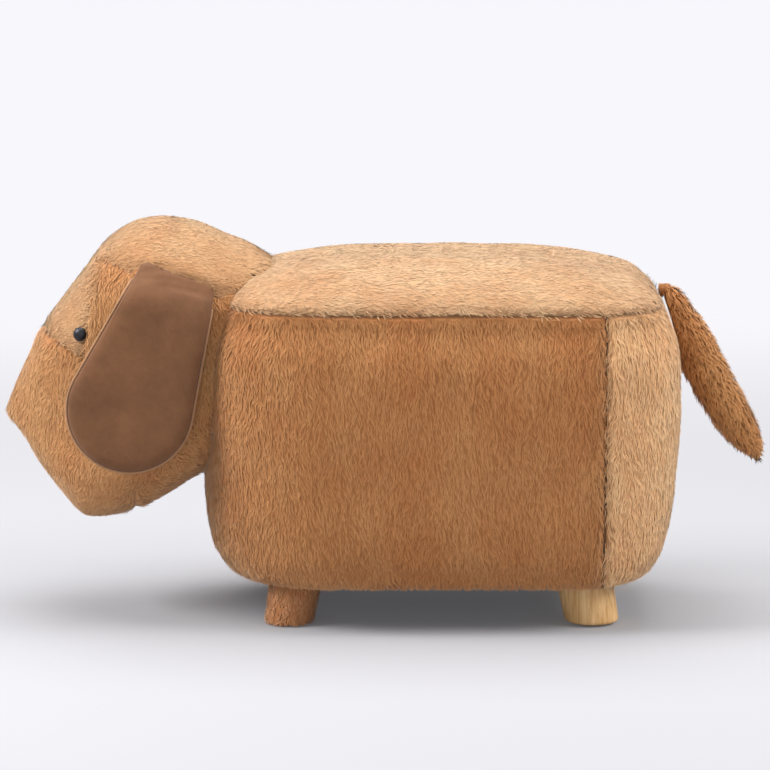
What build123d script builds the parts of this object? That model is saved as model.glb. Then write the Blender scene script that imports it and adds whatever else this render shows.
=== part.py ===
from build123d import *
from math import acos, atan2, cos, hypot, radians, sin
import os

# Animal footstool: a lying puppy with a padded seat on its back, four short legs, two
# hanging ears and a tail. Millimetres, +Z up. The nose points to -X and the tail to +X,
# the floor is z = 0, and x = 0 is the middle of the overall length.

os.makedirs("parts", exist_ok=True)

# Body: reach along X, width, and the heights of its underside, top seam and seat
body_length = 423.0
body_width = 280.0
head_reach = 166.0
tail_reach = 73.0
underside_height = 38.0
seam_height = 276.0
seat_height = 320.0
bottom_draw_in = 34.0

# Plush cover, its turned-in hem, and the sewing gap between soft pieces
cover_wall = 4.0
hem_wall = 1.5
hem_width = 14.0
sewing_gap = 0.3
dust_cover_wall = 0.7
rear_seam_x = 186.0

# Padding round the wooden box
seat_foam_depth = 64.0
side_foam_depth = 48.0
front_foam_depth = 59.0
rump_foam_depth = 40.0

# Wooden box
board_wall = 12.0
board_corner_radius = 12.0
glue_block_side = 26.0
glue_block_height = 90.0
screw_length = 38.0
screw_shank_radius = 2.0
screw_head_radius = 4.0
screw_end_margin = 40.0
drill_clearance = 0.15

# Legs, their plush socks, glides and bolts
leg_top_radius = 23.0
leg_foot_radius = 21.5
leg_edge_radius = 3.0
leg_trim = 5.0
leg_splay_x = 6.0
leg_splay_y = 5.0
front_leg_x = -77.0
rear_leg_x = 172.0
leg_top_y = 64.0
sock_wall = 3.0
sock_sole = 1.5
glide_radius = 14.0
glide_height = 2.0
glide_pin_radius = 1.5
glide_pin_length = 14.0
bolt_radius = 4.0
bolt_in_leg = 26.0
nut_flange_radius = 11.0
nut_flange_wall = 1.5
nut_barrel_radius = 5.5
nut_barrel_length = 9.0

# Head: how far it runs back, its crown and chin heights and its width
head_length = 233.0
head_top_height = 346.0
chin_height = 83.5
head_width = 176.0
head_cover_wall = 3.0

# Eyes
eye_x = -261.0
eye_height = 252.0
eye_radius = 6.0
eye_dome = 3.6
eye_shank_radius = 2.0
eye_shank_length = 16.0
washer_radius = 7.0
washer_wall = 1.6
washer_depth = 6.0

# Ears
ear_length = 170.0
ear_root_width = 70.0
ear_width = 108.0
ear_thickness = 11.0
ear_cover_wall = 1.2
ear_rim_width = 2.0
ear_root_x = -176.5
ear_root_height = 300.6
ear_side_gap = 0.7
ear_slope = 20.4
ear_lean = 5.0

# Tail
tail_drop = 149.0
tail_radius = 18.8
tail_root_radius = 6.3
tail_bow = 8.0
tail_tip_margin = 3.85
tail_root_height = 281.0
tail_cover_wall = 2.6
tail_neck_radius = 8.0
tail_neck_length = 3.5
pivot_gap = 0.4
tail_rest_gap = 2.0

# Places that follow from the sizes above
overall_length = body_length + head_reach + tail_reach
nose_x = -overall_length / 2
body_front_x = nose_x + head_reach
body_rear_x = body_front_x + body_length
body_half_width = body_width / 2
head_half_width = head_width / 2
base_floor = underside_height + hem_wall
base_top = base_floor + board_wall
seat_board_top = seat_height - seat_foam_depth
seat_board_floor = seat_board_top - board_wall
box_front_x = body_front_x + front_foam_depth
box_rear_x = body_rear_x - rump_foam_depth
box_half_width = body_half_width - side_foam_depth
leg_top_z = underside_height - dust_cover_wall
reach = overall_length

# Chords in each rounded corner of a body or head section, of a tail section, and in the round
# ends of the ears and eyes
corner_chords = 6
tail_chords = 4
ear_chords = 16
eye_chords = 4

# Body outline: (height share from underside to top seam, end draw-in, side draw-in), the
# draw-ins as shares of bottom_draw_in
flank_shares = (
    (0.0, 1.0, 0.94),
    (0.027, 0.69, 0.64),
    (0.076, 0.46, 0.42),
    (0.185, 0.25, 0.22),
    (0.395, 0.095, 0.08),
    (0.664, 0.0, 0.0),
    (0.849, 0.075, 0.06),
    (1.0, 0.4, 0.31),
)
# Seat outline: (height share from top seam to seat top, end draw-in, side draw-in), the
# draw-ins as shares of half the body width
seat_shares = (
    (0.0, 0.0971, 0.0753),
    (0.258, 0.135, 0.11),
    (0.515, 0.23, 0.19),
    (0.742, 0.37, 0.31),
    (0.907, 0.55, 0.46),
    (1.0, 0.76, 0.63),
)
front_corner_share = 0.78
rear_corner_share = 0.55

# Head outline: (length share from the nose, top and chin as shares of the height from chin
# to crown, half width as a share of head_half_width)
head_shares = (
    (0.0, 0.371, 0.333, 0.09),
    (0.008, 0.385, 0.322, 0.16),
    (0.025, 0.412, 0.304, 0.235),
    (0.06, 0.472, 0.268, 0.335),
    (0.12, 0.59, 0.176, 0.48),
    (0.202, 0.705, 0.085, 0.62),
    (0.288, 0.82, 0.008, 0.75),
    (0.356, 0.902, 0.0, 0.845),
    (0.455, 0.97, 0.018, 0.935),
    (0.562, 0.998, 0.06, 1.0),
    (0.69, 0.985, 0.128, 1.0),
    (0.82, 0.944, 0.224, 0.965),
    (0.94, 0.893, 0.4, 0.87),
    (1.0, 0.845, 0.56, 0.76),
)
head_top_round_share = 0.92
head_chin_round_share = 0.8
round_limit_share = 0.49

# Head seams, as (length share from the nose, height share from chin to crown)
brow_share = (0.145, 0.634)
eye_corner_share = (0.306, 0.565)
cheek_seam_share = (0.66, 0.46)
neck_seam_share = (0.72, 0.36)
throat_seam_share = (0.485, 0.1)
crown_front_share = (0.365, 0.88)
crown_back_share = (0.8, 0.775)

# Tail outline from its rounded root to its tip: (length share, bow share, radius share)
tail_root_share = 0.93
tail_round_share = 0.98
tail_shares = (
    (0.0, 0.0, 0.15),
    (0.05, 0.3, 0.42),
    (0.12, 0.7, 0.66),
    (0.26, 1.0, 0.93),
    (0.43, 1.0, 1.0),
    (0.6, 0.85, 0.99),
    (0.77, 0.5, 0.93),
    (0.89, 0.2, 0.7),
    (0.965, 0.05, 0.4),
    (1.0, 0.0, 0.15),
)

# Ear cushion: (share of half the thickness, draw-in as a share of half the root width)
ear_shares = (
    (-1.0, 0.42),
    (-0.8, 0.15),
    (-0.4, 0.02),
    (0.4, 0.02),
    (0.8, 0.15),
    (1.0, 0.42),
)

parts = {}


def rounded_outline(low, high, half, low_radius, high_radius, chords):
    """Face between y = low and high, half wide each way, each corner rounded in short chords."""
    corners = (
        (half - low_radius, low + low_radius, low_radius, -90),
        (half - high_radius, high - high_radius, high_radius, 0),
        (high_radius - half, high - high_radius, high_radius, 90),
        (low_radius - half, low + low_radius, low_radius, 180),
    )
    points = []
    for x, y, radius, start in corners:
        for step in range(chords + 1):
            turn = radians(start + 90 * step / chords)
            points.append((x + radius * cos(turn), y + radius * sin(turn)))
    return make_face(Polyline(*points, close=True))


def body_section(height, end_draw, side_draw):
    """Level cut through the body, its ends and sides drawn in from the widest outline."""
    half = body_half_width - side_draw
    level = Plane(origin=(0, 0, height), x_dir=(0, -1, 0), z_dir=(0, 0, 1))
    return level * rounded_outline(
        body_front_x + end_draw,
        body_rear_x - end_draw,
        half,
        front_corner_share * half,
        rear_corner_share * half,
        corner_chords,
    )


def flank_form(inset, floor_inset):
    """Body below the top seam, each surface moved inwards by inset, the floor by floor_inset."""
    floor = underside_height + floor_inset
    rise = seam_height - floor
    return loft([
        body_section(floor + up * rise, inset + end * bottom_draw_in, inset + side * bottom_draw_in)
        for up, end, side in flank_shares
    ], ruled=True)


def seat_form(inset):
    """Domed body above the top seam, its surface moved inwards by inset."""
    rise = seat_height - inset - seam_height
    return loft([
        body_section(
            seam_height + up * rise, inset + end * body_half_width, inset + side * body_half_width
        )
        for up, end, side in seat_shares
    ], ruled=True)


def body_form(inset, floor_inset):
    """Whole padded body, its surface moved inwards by inset."""
    return flank_form(inset, floor_inset) + seat_form(inset)


def head_form(inset):
    """Head from the nose tip to its back, its surface moved inwards by inset."""
    front = nose_x + inset
    rise = head_top_height - chin_height
    sections = []
    for along, top, chin, wide in head_shares:
        low = chin_height + chin * rise + inset
        high = chin_height + top * rise - inset
        half = wide * head_half_width - inset
        limit = round_limit_share * (high - low)
        station = Plane(
            origin=(front + along * (head_length - inset), 0, 0), x_dir=(0, 1, 0), z_dir=(1, 0, 0)
        )
        sections.append(station * rounded_outline(
            low,
            high,
            half,
            min(head_chin_round_share * half, limit),
            min(head_top_round_share * half, limit),
            corner_chords,
        ))
    return loft(sections, ruled=True)


def head_point(share):
    """Point of the side view, (x, z), at shares of the head's length and height."""
    along, up = share
    return nose_x + along * head_length, chin_height + up * (head_top_height - chin_height)


def side_zone(points):
    """Everything whose side view lies inside the closed outline through the points."""
    outline = Plane.XZ * make_face(Polyline(*points, close=True))
    return extrude(outline, amount=body_width, both=True)


def slab(low, high):
    """Box between two opposite corners."""
    size = [b - a for a, b in zip(low, high)]
    return Pos(*low) * Box(*size, align=(Align.MIN, Align.MIN, Align.MIN))


def cylinder_between(x, y, low, high, radius):
    """Upright cylinder about (x, y) from height low to high."""
    return Pos(x, y, low) * Cylinder(
        radius, high - low, align=(Align.CENTER, Align.CENTER, Align.MIN)
    )


def solids_of(shape):
    """The separate solids of a shape, the largest first."""
    return sorted(shape.solids(), key=lambda solid: -solid.volume)


# Body space that the head and tail keep clear of, and the space inside its cover
body_clear = body_form(-sewing_gap, -sewing_gap)
tail_clear = body_form(-tail_rest_gap, -tail_rest_gap)
padding = body_form(cover_wall + sewing_gap, hem_wall)


def make_covers():
    """Seat, flank and rump covers, with a turned-in hem round the open underside."""
    flanks = flank_form(0, 0) - flank_form(cover_wall, hem_wall)
    hem_inset = bottom_draw_in + cover_wall + hem_width
    opening = extrude(body_section(underside_height, hem_inset, hem_inset), hem_wall)
    flanks = flanks - opening
    low, high = (rear_seam_x, -body_width, 0), (reach, body_width, seat_height)
    parts["rump_cover"] = flanks & slab(low, high)
    for name, side in (("left", -1), ("right", 1)):
        low_y, high_y = sorted((0, side * body_width))
        half_space = slab((-reach, low_y, 0), (rear_seam_x, high_y, seat_height))
        parts[f"flank_cover_{name}"] = flanks & half_space
    parts["seat_cover"] = seat_form(0) - seat_form(cover_wall)


def make_padding():
    """Foams between the cover and the wooden box."""
    top = slab((-reach, -body_width, seat_board_top), (reach, body_width, seat_height))
    parts["seat_foam"] = padding & top
    boxed = slab(
        (box_front_x, -box_half_width, 0), (box_rear_x, box_half_width, seat_board_top)
    )
    ring = padding - top - boxed - base_board_blank()
    front = slab((-reach, -body_width, 0), (box_front_x, body_width, seat_board_top))
    rear = slab((box_rear_x, -body_width, 0), (reach, body_width, seat_board_top))
    parts["front_foam"] = ring & front
    parts["rump_foam"] = ring & rear
    for name, side in (("left", -1), ("right", 1)):
        low_y, high_y = sorted((side * box_half_width, side * body_width))
        wall = slab((box_front_x, low_y, 0), (box_rear_x, high_y, seat_board_top))
        parts[f"side_foam_{name}"] = ring & wall


def base_board_blank():
    """Base board before drilling, cut to the body's outline with room for the cover."""
    inset = bottom_draw_in + cover_wall + sewing_gap
    return extrude(body_section(base_floor, inset, inset), board_wall)


def rounded_board(floor):
    """Board that closes the top of the wooden box, with rounded corners."""
    board = slab(
        (box_front_x, -box_half_width, floor), (box_rear_x, box_half_width, floor + board_wall)
    )
    return fillet(board.edges().filter_by(Axis.Z), board_corner_radius)


def screw(clearance):
    """Countersunk screw along -Z from its head's face, or its hole with a clearance."""
    head = screw_head_radius + clearance
    shank = screw_shank_radius + clearance
    cone_end = -(screw_head_radius - screw_shank_radius)
    tip = -screw_length - clearance
    profile = make_face(Polyline(
        (0, 0), (head, 0), (shank, cone_end), (shank, tip), (0, tip), close=True
    ))
    return revolve(Plane.XZ * profile, Axis.Z)


def screw_places():
    """Locations of the screws: down through the seat board and up through the base board."""
    wall_y = box_half_width - board_wall / 2
    wall_x = (box_front_x + board_wall / 2, box_rear_x - board_wall / 2)
    run = (box_front_x + screw_end_margin, box_rear_x - screw_end_margin)
    spots = [(x, y) for x in run for y in (-wall_y, wall_y)] + [(x, 0) for x in wall_x]
    down = [Pos(x, y, seat_board_top) for x, y in spots]
    up = [Pos(x, y, base_floor) * Rot(180, 0, 0) for x, y in spots]
    return down + up


def leg_places():
    """(name, top x, top y, end sign, side sign) of each leg."""
    ends = (("front", front_leg_x, -1), ("rear", rear_leg_x, 1))
    sides = (("left", -1), ("right", 1))
    return [
        (f"{end}_{side}", x, sign_y * leg_top_y, sign_x, sign_y)
        for end, x, sign_x in ends
        for side, sign_y in sides
    ]


def make_box():
    """Wooden box: two boards, two rails, two bulkheads, glue blocks and screws."""
    places = screw_places()
    screws = Compound([place * screw(0) for place in places])
    holes = Compound([place * screw(drill_clearance) for place in places])
    base = base_board_blank() - holes
    for _, x, y, _, _ in leg_places():
        barrel = nut_barrel_radius + drill_clearance
        base = base - cylinder_between(x, y, base_floor, base_top, barrel)
    parts["base_board"] = base
    parts["seat_board"] = rounded_board(seat_board_floor) - holes
    inner_y = box_half_width - board_wall
    inner_front = box_front_x + board_wall
    inner_rear = box_rear_x - board_wall
    for name, side in (("left", -1), ("right", 1)):
        low_y, high_y = sorted((side * inner_y, side * box_half_width))
        rail = slab((inner_front, low_y, base_top), (inner_rear, high_y, seat_board_floor))
        parts[f"side_rail_{name}"] = rail - holes
    for name, low_x, high_x in (
        ("front_bulkhead", box_front_x, inner_front),
        ("rear_bulkhead", inner_rear, box_rear_x),
    ):
        board = slab(
            (low_x, -box_half_width, base_top), (high_x, box_half_width, seat_board_floor)
        )
        edges = board.edges().filter_by(Axis.Z)
        outer = edges.group_by(Axis.X)[0 if low_x == box_front_x else -1]
        parts[name] = fillet(outer, board_wall - drill_clearance) - holes
    parts["glue_blocks"] = Compound(glue_blocks(inner_front, inner_rear, inner_y))
    parts["frame_screws"] = screws


def glue_blocks(front, rear, half):
    """Triangular blocks glued into the upper corners of the box."""
    corners = ((front, 1), (rear, -1))
    blocks = []
    for x, inward_x in corners:
        for side in (-1, 1):
            y = side * half
            outline = make_face(Polyline(
                (x, y),
                (x + inward_x * glue_block_side, y),
                (x, y - side * glue_block_side),
                close=True,
            ))
            block = extrude(outline, amount=glue_block_height, dir=(0, 0, 1))
            blocks.append(Pos(0, 0, seat_board_floor - glue_block_height) * block)
    return blocks


def make_dust_cover():
    """Non-woven sheet under the hem, with a hole at each leg bolt."""
    inset = bottom_draw_in + cover_wall
    sheet = extrude(body_section(leg_top_z, inset, inset), dust_cover_wall)
    for _, x, y, _, _ in leg_places():
        hole = cylinder_between(x, y, leg_top_z, underside_height, bolt_radius + drill_clearance)
        sheet = sheet - hole
    parts["dust_cover"] = sheet


def leaning_leg(x, y, out_x, out_y, floor, top_radius, foot_radius):
    """Round leg that narrows and leans outwards down to the height floor, its rim eased."""
    top = Vector(x, y, leg_top_z)
    foot = Vector(x + out_x * leg_splay_x, y + out_y * leg_splay_y, floor)
    run = (top - foot).length
    rise = (top_radius - foot_radius) / run
    beyond = run + leg_trim
    profile = make_face(Polyline(
        (0, -leg_trim),
        (foot_radius - leg_edge_radius - leg_trim, -leg_trim),
        (foot_radius, leg_edge_radius),
        (foot_radius + rise * beyond, beyond),
        (0, beyond),
        close=True,
    ))
    leg = Plane(origin=foot, z_dir=top - foot) * revolve(Plane.XZ * profile, Axis.Z)
    return leg & slab((-reach, -body_width, floor), (reach, body_width, leg_top_z))


def make_legs():
    """Legs with their bolts, tee nuts and glides; the front pair wears plush socks."""
    bolts = []
    nuts = []
    for name, x, y, out_x, out_y in leg_places():
        foot_x = x + out_x * leg_splay_x
        foot_y = y + out_y * leg_splay_y
        pin_top = glide_height + glide_pin_length
        pin = cylinder_between(foot_x, foot_y, glide_height, pin_top, glide_pin_radius)
        pin_hole = cylinder_between(
            foot_x, foot_y, glide_height, pin_top, glide_pin_radius + drill_clearance
        )
        bolt_low = leg_top_z - bolt_in_leg
        bolt_hole = cylinder_between(x, y, bolt_low, leg_top_z, bolt_radius + drill_clearance)
        socked = out_x < 0
        inset = sock_wall + sewing_gap if socked else 0
        sole = glide_height + (sock_sole if socked else 0)
        leg = leaning_leg(
            x, y, out_x, out_y, sole, leg_top_radius - inset, leg_foot_radius - inset
        )
        parts[f"leg_{name}"] = leg - bolt_hole - pin_hole
        if socked:
            sock = leaning_leg(
                x, y, out_x, out_y, glide_height, leg_top_radius, leg_foot_radius
            )
            room = leaning_leg(
                x,
                y,
                out_x,
                out_y,
                sole,
                leg_top_radius - sock_wall,
                leg_foot_radius - sock_wall,
            )
            parts[f"leg_sock_{name}"] = sock - room - pin_hole
        disc = cylinder_between(foot_x, foot_y, 0, glide_height, glide_radius)
        parts[f"glide_{name}"] = disc + pin
        bolts.append(cylinder_between(x, y, bolt_low, base_top, bolt_radius))
        flange = cylinder_between(x, y, base_top, base_top + nut_flange_wall, nut_flange_radius)
        barrel = cylinder_between(
            x, y, base_top - nut_barrel_length, base_top, nut_barrel_radius
        )
        bore = cylinder_between(x, y, base_floor, base_top, bolt_radius + drill_clearance)
        nuts.append(flange + barrel - bore)
    parts["hanger_bolts"] = Compound(bolts)
    parts["tee_nuts"] = Compound(nuts)


def make_head():
    """Filled head with its crown, cheek, muzzle and throat covers and two eyes."""
    outer = head_form(0)
    shell = outer - head_form(head_cover_wall) - body_clear
    filling = head_form(head_cover_wall + sewing_gap) - body_clear
    places = eye_places(outer)
    for place in places:
        shell = shell - place * eye_room(eye_shank_radius + drill_clearance)
        filling = filling - place * eye_room(washer_radius + drill_clearance)
    brow = head_point(brow_share)
    eye_corner = head_point(eye_corner_share)
    cheek = head_point(cheek_seam_share)
    neck = head_point(neck_seam_share)
    throat = head_point(throat_seam_share)
    crown_front = head_point(crown_front_share)
    crown_back = head_point(crown_back_share)
    back = body_rear_x
    muzzle_zone = side_zone([
        (-reach, brow[1]), brow, eye_corner, cheek, neck, throat, (throat[0], 0), (-reach, 0)
    ])
    throat_zone = side_zone([neck, throat, (throat[0], 0), (back, 0), (back, neck[1])])
    cheek_zone = side_zone([
        crown_front, eye_corner, cheek, neck, (back, neck[1]), (back, crown_back[1]), crown_back
    ])
    parts["muzzle_cover"] = shell & muzzle_zone
    parts["throat_cover"] = shell & throat_zone
    cheeks = shell & cheek_zone
    for name, side in (("left", -1), ("right", 1)):
        low_y, high_y = sorted((0, side * body_width))
        half_space = slab((-reach, low_y, 0), (reach, high_y, head_top_height))
        parts[f"cheek_cover_{name}"] = cheeks & half_space
    parts["crown_cover"] = shell - muzzle_zone - throat_zone - cheek_zone
    parts["head_filling"] = filling
    for name, place in zip(("left", "right"), places):
        parts[f"eye_{name}"] = place * eye()
        parts[f"eye_washer_{name}"] = place * washer()


def eye_places(head):
    """Planes on the head's surface at the eyes, each normal pointing out of the head."""
    places = []
    for side in (-1, 1):
        sight = Axis((eye_x, side * body_width, eye_height), (0, -side, 0))
        point, normal = head.find_intersection_points(sight)[0]
        places.append(Plane(origin=point, x_dir=(0, 0, 1), z_dir=normal))
    return places


def eye():
    """Domed eye on its shank; its rim rests on the cover at z = 0."""
    ball = (eye_radius**2 + eye_dome**2) / (2 * eye_dome)
    centre = eye_dome - ball
    rim = atan2(-centre, eye_radius)
    dome = []
    for step in range(eye_chords + 1):
        turn = rim + (radians(90) - rim) * step / eye_chords
        dome.append((ball * cos(turn), centre + ball * sin(turn)))
    cap = make_face(Polyline((0, 0), *dome, close=True))
    shank = cylinder_between(0, 0, -eye_shank_length, 0, eye_shank_radius)
    return revolve(Plane.XZ * cap, Axis.Z) + shank


def eye_room(radius):
    """Space that the shank or the washer takes below the surface."""
    return cylinder_between(0, 0, -eye_shank_length - sewing_gap, eye_dome, radius)


def washer():
    """Lock washer that holds the eye's shank behind the cover."""
    top = -washer_depth
    ring = cylinder_between(0, 0, top - washer_wall, top, washer_radius)
    bore = eye_shank_radius + drill_clearance
    return ring - cylinder_between(0, 0, top - washer_wall, top, bore)


def ear_outline(inset):
    """Paddle hanging from its root at y = 0: slanted sides that run tangent into a round end."""
    root_half = ear_root_width / 2 - inset
    radius = ear_width / 2 - inset
    centre_y = ear_width / 2 - ear_length
    top_y = ear_thickness / 2 - inset
    drop = top_y - centre_y
    turn = atan2(drop, root_half) - acos(radius / hypot(drop, root_half))
    round_end = []
    for step in range(ear_chords + 1):
        angle = radians(180) - turn + (radians(180) + turn + turn) * step / ear_chords
        round_end.append((radius * cos(angle), centre_y + radius * sin(angle)))
    return make_face(Polyline((root_half, top_y), (-root_half, top_y), *round_end, close=True))


def ear_form(inset):
    """Flat cushion over the paddle outline, its surface moved inwards by inset."""
    levels = [
        Pos(0, 0, level * (ear_thickness / 2 - inset))
        * ear_outline(inset + draw * ear_root_width / 2)
        for level, draw in ear_shares
    ]
    return loft(levels, ruled=True)


def ear_root():
    """Plane of the left ear: x back along its root, y up the ear, z out of the head."""
    slope = radians(ear_slope)
    lean = radians(ear_lean)
    side_top = head_top_height - head_top_round_share * head_half_width
    root_y = head_half_width + ear_side_gap + ear_thickness / 2
    root_y -= (ear_root_height - side_top) * sin(lean)
    along = (cos(slope), 0, -sin(slope))
    outward = (sin(slope) * sin(lean), -cos(lean), cos(slope) * sin(lean))
    return Plane(origin=(ear_root_x, -root_y, ear_root_height), x_dir=along, z_dir=outward)


def make_ears():
    """Ears: outer panel, lining, batting and a thin rim, the right ear a mirror image."""
    form = ear_form(0)
    shell = form - ear_form(ear_cover_wall)
    outer_half = slab((-ear_length, -ear_length, 0), (ear_length, ear_length, ear_length))
    rim = extrude(ear_outline(-ear_rim_width), ear_rim_width / 2, both=True) - form
    rim_span = slab(
        (-ear_length, -ear_length - ear_width, -ear_width),
        (ear_length, -ear_thickness, ear_width),
    )
    pieces = {
        "outer": shell & outer_half,
        "lining": shell - outer_half,
        "batting": ear_form(ear_cover_wall + sewing_gap),
        "rim": rim & rim_span,
    }
    root = ear_root()
    for name, piece in pieces.items():
        placed = root * piece
        parts[f"ear_left_{name}"] = placed
        parts[f"ear_right_{name}"] = mirror(placed, about=Plane.XZ)


def tail_form(inset, pivot):
    """Tail from its rounded root to its tip, its surface moved inwards by inset."""
    tip_run = body_rear_x + tail_reach - tail_tip_margin - pivot.X
    slope = atan2(tip_run, tail_drop)
    tail_length = hypot(tip_run, tail_drop)
    along = Vector(sin(slope), 0, -cos(slope))
    bow_way = Vector(-cos(slope), 0, -sin(slope))
    start = inset - tail_root_share * tail_root_radius
    span = tail_length - inset - start
    sections = []
    for run, bow, wide in tail_shares:
        centre = pivot + along * (start + run * span) + bow_way * (bow * tail_bow)
        section = Plane(origin=centre, x_dir=(0, 1, 0), z_dir=along)
        radius = wide * (tail_radius - inset)
        corner = tail_round_share * radius
        sections.append(section * rounded_outline(
            -radius, radius, radius, corner, corner, tail_chords
        ))
    return loft(sections, ruled=True)


def make_tail():
    """Tail on its short sewn neck, hanging close to the rump."""
    low = tail_root_height - tail_neck_radius
    sight = Axis((reach, 0, low), (-1, 0, 0))
    seat_x = body_clear.find_intersection_points(sight)[0][0].X
    neck_end = seat_x + tail_neck_length
    level = Plane(origin=(seat_x, 0, tail_root_height), x_dir=(0, 1, 0), z_dir=(1, 0, 0))
    neck = level * Cylinder(
        tail_neck_radius, tail_neck_length, align=(Align.CENTER, Align.CENTER, Align.MIN)
    )
    parts["tail_neck"] = neck
    room = level * Cylinder(
        tail_neck_radius + sewing_gap,
        tail_neck_length + sewing_gap,
        align=(Align.CENTER, Align.CENTER, Align.MIN),
    )
    pivot = Vector(neck_end + pivot_gap + tail_root_radius, 0, tail_root_height)
    filling_gap = tail_rest_gap + tail_cover_wall + sewing_gap
    outer = tail_form(0, pivot) - tail_clear - room
    filling_clear = body_form(-filling_gap, -filling_gap)
    parts["tail_filling"] = tail_form(tail_cover_wall + sewing_gap, pivot) - filling_clear
    parts["tail_cover"] = outer - tail_form(tail_cover_wall, pivot)
    print("tail pivot", pivot)


make_covers()
make_padding()
make_box()
make_dust_cover()
make_legs()
make_head()
make_ears()
make_tail()

for node, shape in parts.items():
    solids = solids_of(shape)
    kept = solids[0] if len(solids) == 1 else Compound(solids)
    export_step(kept, f"parts/{node}.step")
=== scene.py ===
import bpy
import numpy as np
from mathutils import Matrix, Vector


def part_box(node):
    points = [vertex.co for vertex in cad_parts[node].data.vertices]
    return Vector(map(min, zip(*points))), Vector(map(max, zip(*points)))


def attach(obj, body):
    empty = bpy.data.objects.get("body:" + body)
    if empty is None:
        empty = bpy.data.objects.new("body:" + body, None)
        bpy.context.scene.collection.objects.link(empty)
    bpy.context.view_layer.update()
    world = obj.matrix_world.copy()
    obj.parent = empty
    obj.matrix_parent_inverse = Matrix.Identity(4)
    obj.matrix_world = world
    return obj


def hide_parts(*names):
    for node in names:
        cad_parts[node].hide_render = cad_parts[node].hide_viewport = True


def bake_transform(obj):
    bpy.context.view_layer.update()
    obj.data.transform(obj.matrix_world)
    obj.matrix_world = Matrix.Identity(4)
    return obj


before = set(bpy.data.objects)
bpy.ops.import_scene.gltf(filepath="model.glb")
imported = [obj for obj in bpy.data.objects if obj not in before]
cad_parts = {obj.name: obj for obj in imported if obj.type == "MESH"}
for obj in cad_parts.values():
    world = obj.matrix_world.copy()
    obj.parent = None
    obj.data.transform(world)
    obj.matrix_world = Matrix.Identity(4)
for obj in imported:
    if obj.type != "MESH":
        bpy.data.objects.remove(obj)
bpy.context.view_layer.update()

# Studio: a pale floor that fades into a near-white backdrop, one broad lamp overhead, one at
# each end and a weak one in front, and a long lens that looks a little down on the left side.
backdrop_colour = (0.935, 0.93, 0.975, 1)
scene = bpy.context.scene
scene.view_settings.view_transform = "Standard"


def new_object(name, data):
    """An object for a mesh, a lamp or a camera, in the scene."""
    thing = bpy.data.objects.new(name, data)
    scene.collection.objects.link(thing)
    return thing


camera = new_object("camera", bpy.data.cameras.new("camera"))
camera.location = (0, -3.2, 0.739)
camera.rotation_euler = (np.radians(90 - 9.62), 0, 0)
camera.data.lens = 173.3
camera.data.sensor_width = 36
camera.data.clip_end = 50
scene.camera = camera


def lamp(name, place, target, size, watts):
    """Square area lamp at a place, turned to face a target."""
    data = bpy.data.lights.new(name, "AREA")
    data.size, data.energy = size, watts
    thing = new_object(name, data)
    thing.location = place
    way = np.array(target) - np.array(place)
    flat = np.hypot(way[0], way[1])
    thing.rotation_euler = (np.arctan2(flat, -way[2]), 0, np.arctan2(way[0], -way[1]) + np.pi)


lamp("lamp_overhead", (0.0, 0.25, 2.0), (0, 0, 0.2), 1.8, 47)
lamp("lamp_right", (1.6, -0.5, 1.2), (0.1, 0, 0.2), 0.9, 27)
lamp("lamp_left", (-1.6, -0.4, 1.3), (-0.1, 0, 0.2), 0.9, 43)
lamp("lamp_front", (-0.4, -2.4, 0.5), (0, 0, 0.1), 1.2, 8)


def node(tree, kind, inputs=(), **settings):
    """A shader node with its settings and inputs. An input is a plain value, a socket to link
    from, or a node whose first output is linked."""
    made = tree.nodes.new("ShaderNode" + kind)
    for key, value in settings.items():
        setattr(made, key, value)
    for key, value in dict(inputs).items():
        if isinstance(value, bpy.types.Node):
            value = value.outputs[0]
        if isinstance(value, bpy.types.NodeSocket):
            tree.links.new(value, made.inputs[key])
        else:
            made.inputs[key].default_value = value
    return made


def maths(tree, operation, one, two, **settings):
    """A Math node of two inputs."""
    return node(tree, "Math", {0: one, 1: two}, operation=operation, **settings)


def blended(tree, share, one, two, way="MIX"):
    """The socket of one colour mixed with another by a share."""
    inputs = {0: share, 6: one, 7: two}
    return node(tree, "Mix", inputs, data_type="RGBA", blend_type=way).outputs[2]


def new_material(name, inputs):
    """A material with the given inputs of its Principled shader, its node tree and that shader."""
    made = bpy.data.materials.new(name)
    made.use_nodes = True
    shader = made.node_tree.nodes["Principled BSDF"]
    for key, value in inputs.items():
        shader.inputs[key].default_value = value
    return made, made.node_tree, shader


scene.world = bpy.data.worlds.new("studio")
scene.world.use_nodes = True
tree = scene.world.node_tree
tree.nodes.clear()
ambient = node(tree, "Background", {"Color": (1, 1, 1, 1), "Strength": 0.34})
seen = node(tree, "Background", {"Color": backdrop_colour, "Strength": 1})
rays = node(tree, "LightPath").outputs
either = maths(tree, "MAXIMUM", rays["Is Camera Ray"], rays["Is Glossy Ray"])
direct = maths(tree, "MAXIMUM", either, rays["Is Transmission Ray"])
choose = node(tree, "MixShader", {0: direct, 1: ambient, 2: seen})
node(tree, "OutputWorld", {"Surface": choose})

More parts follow.
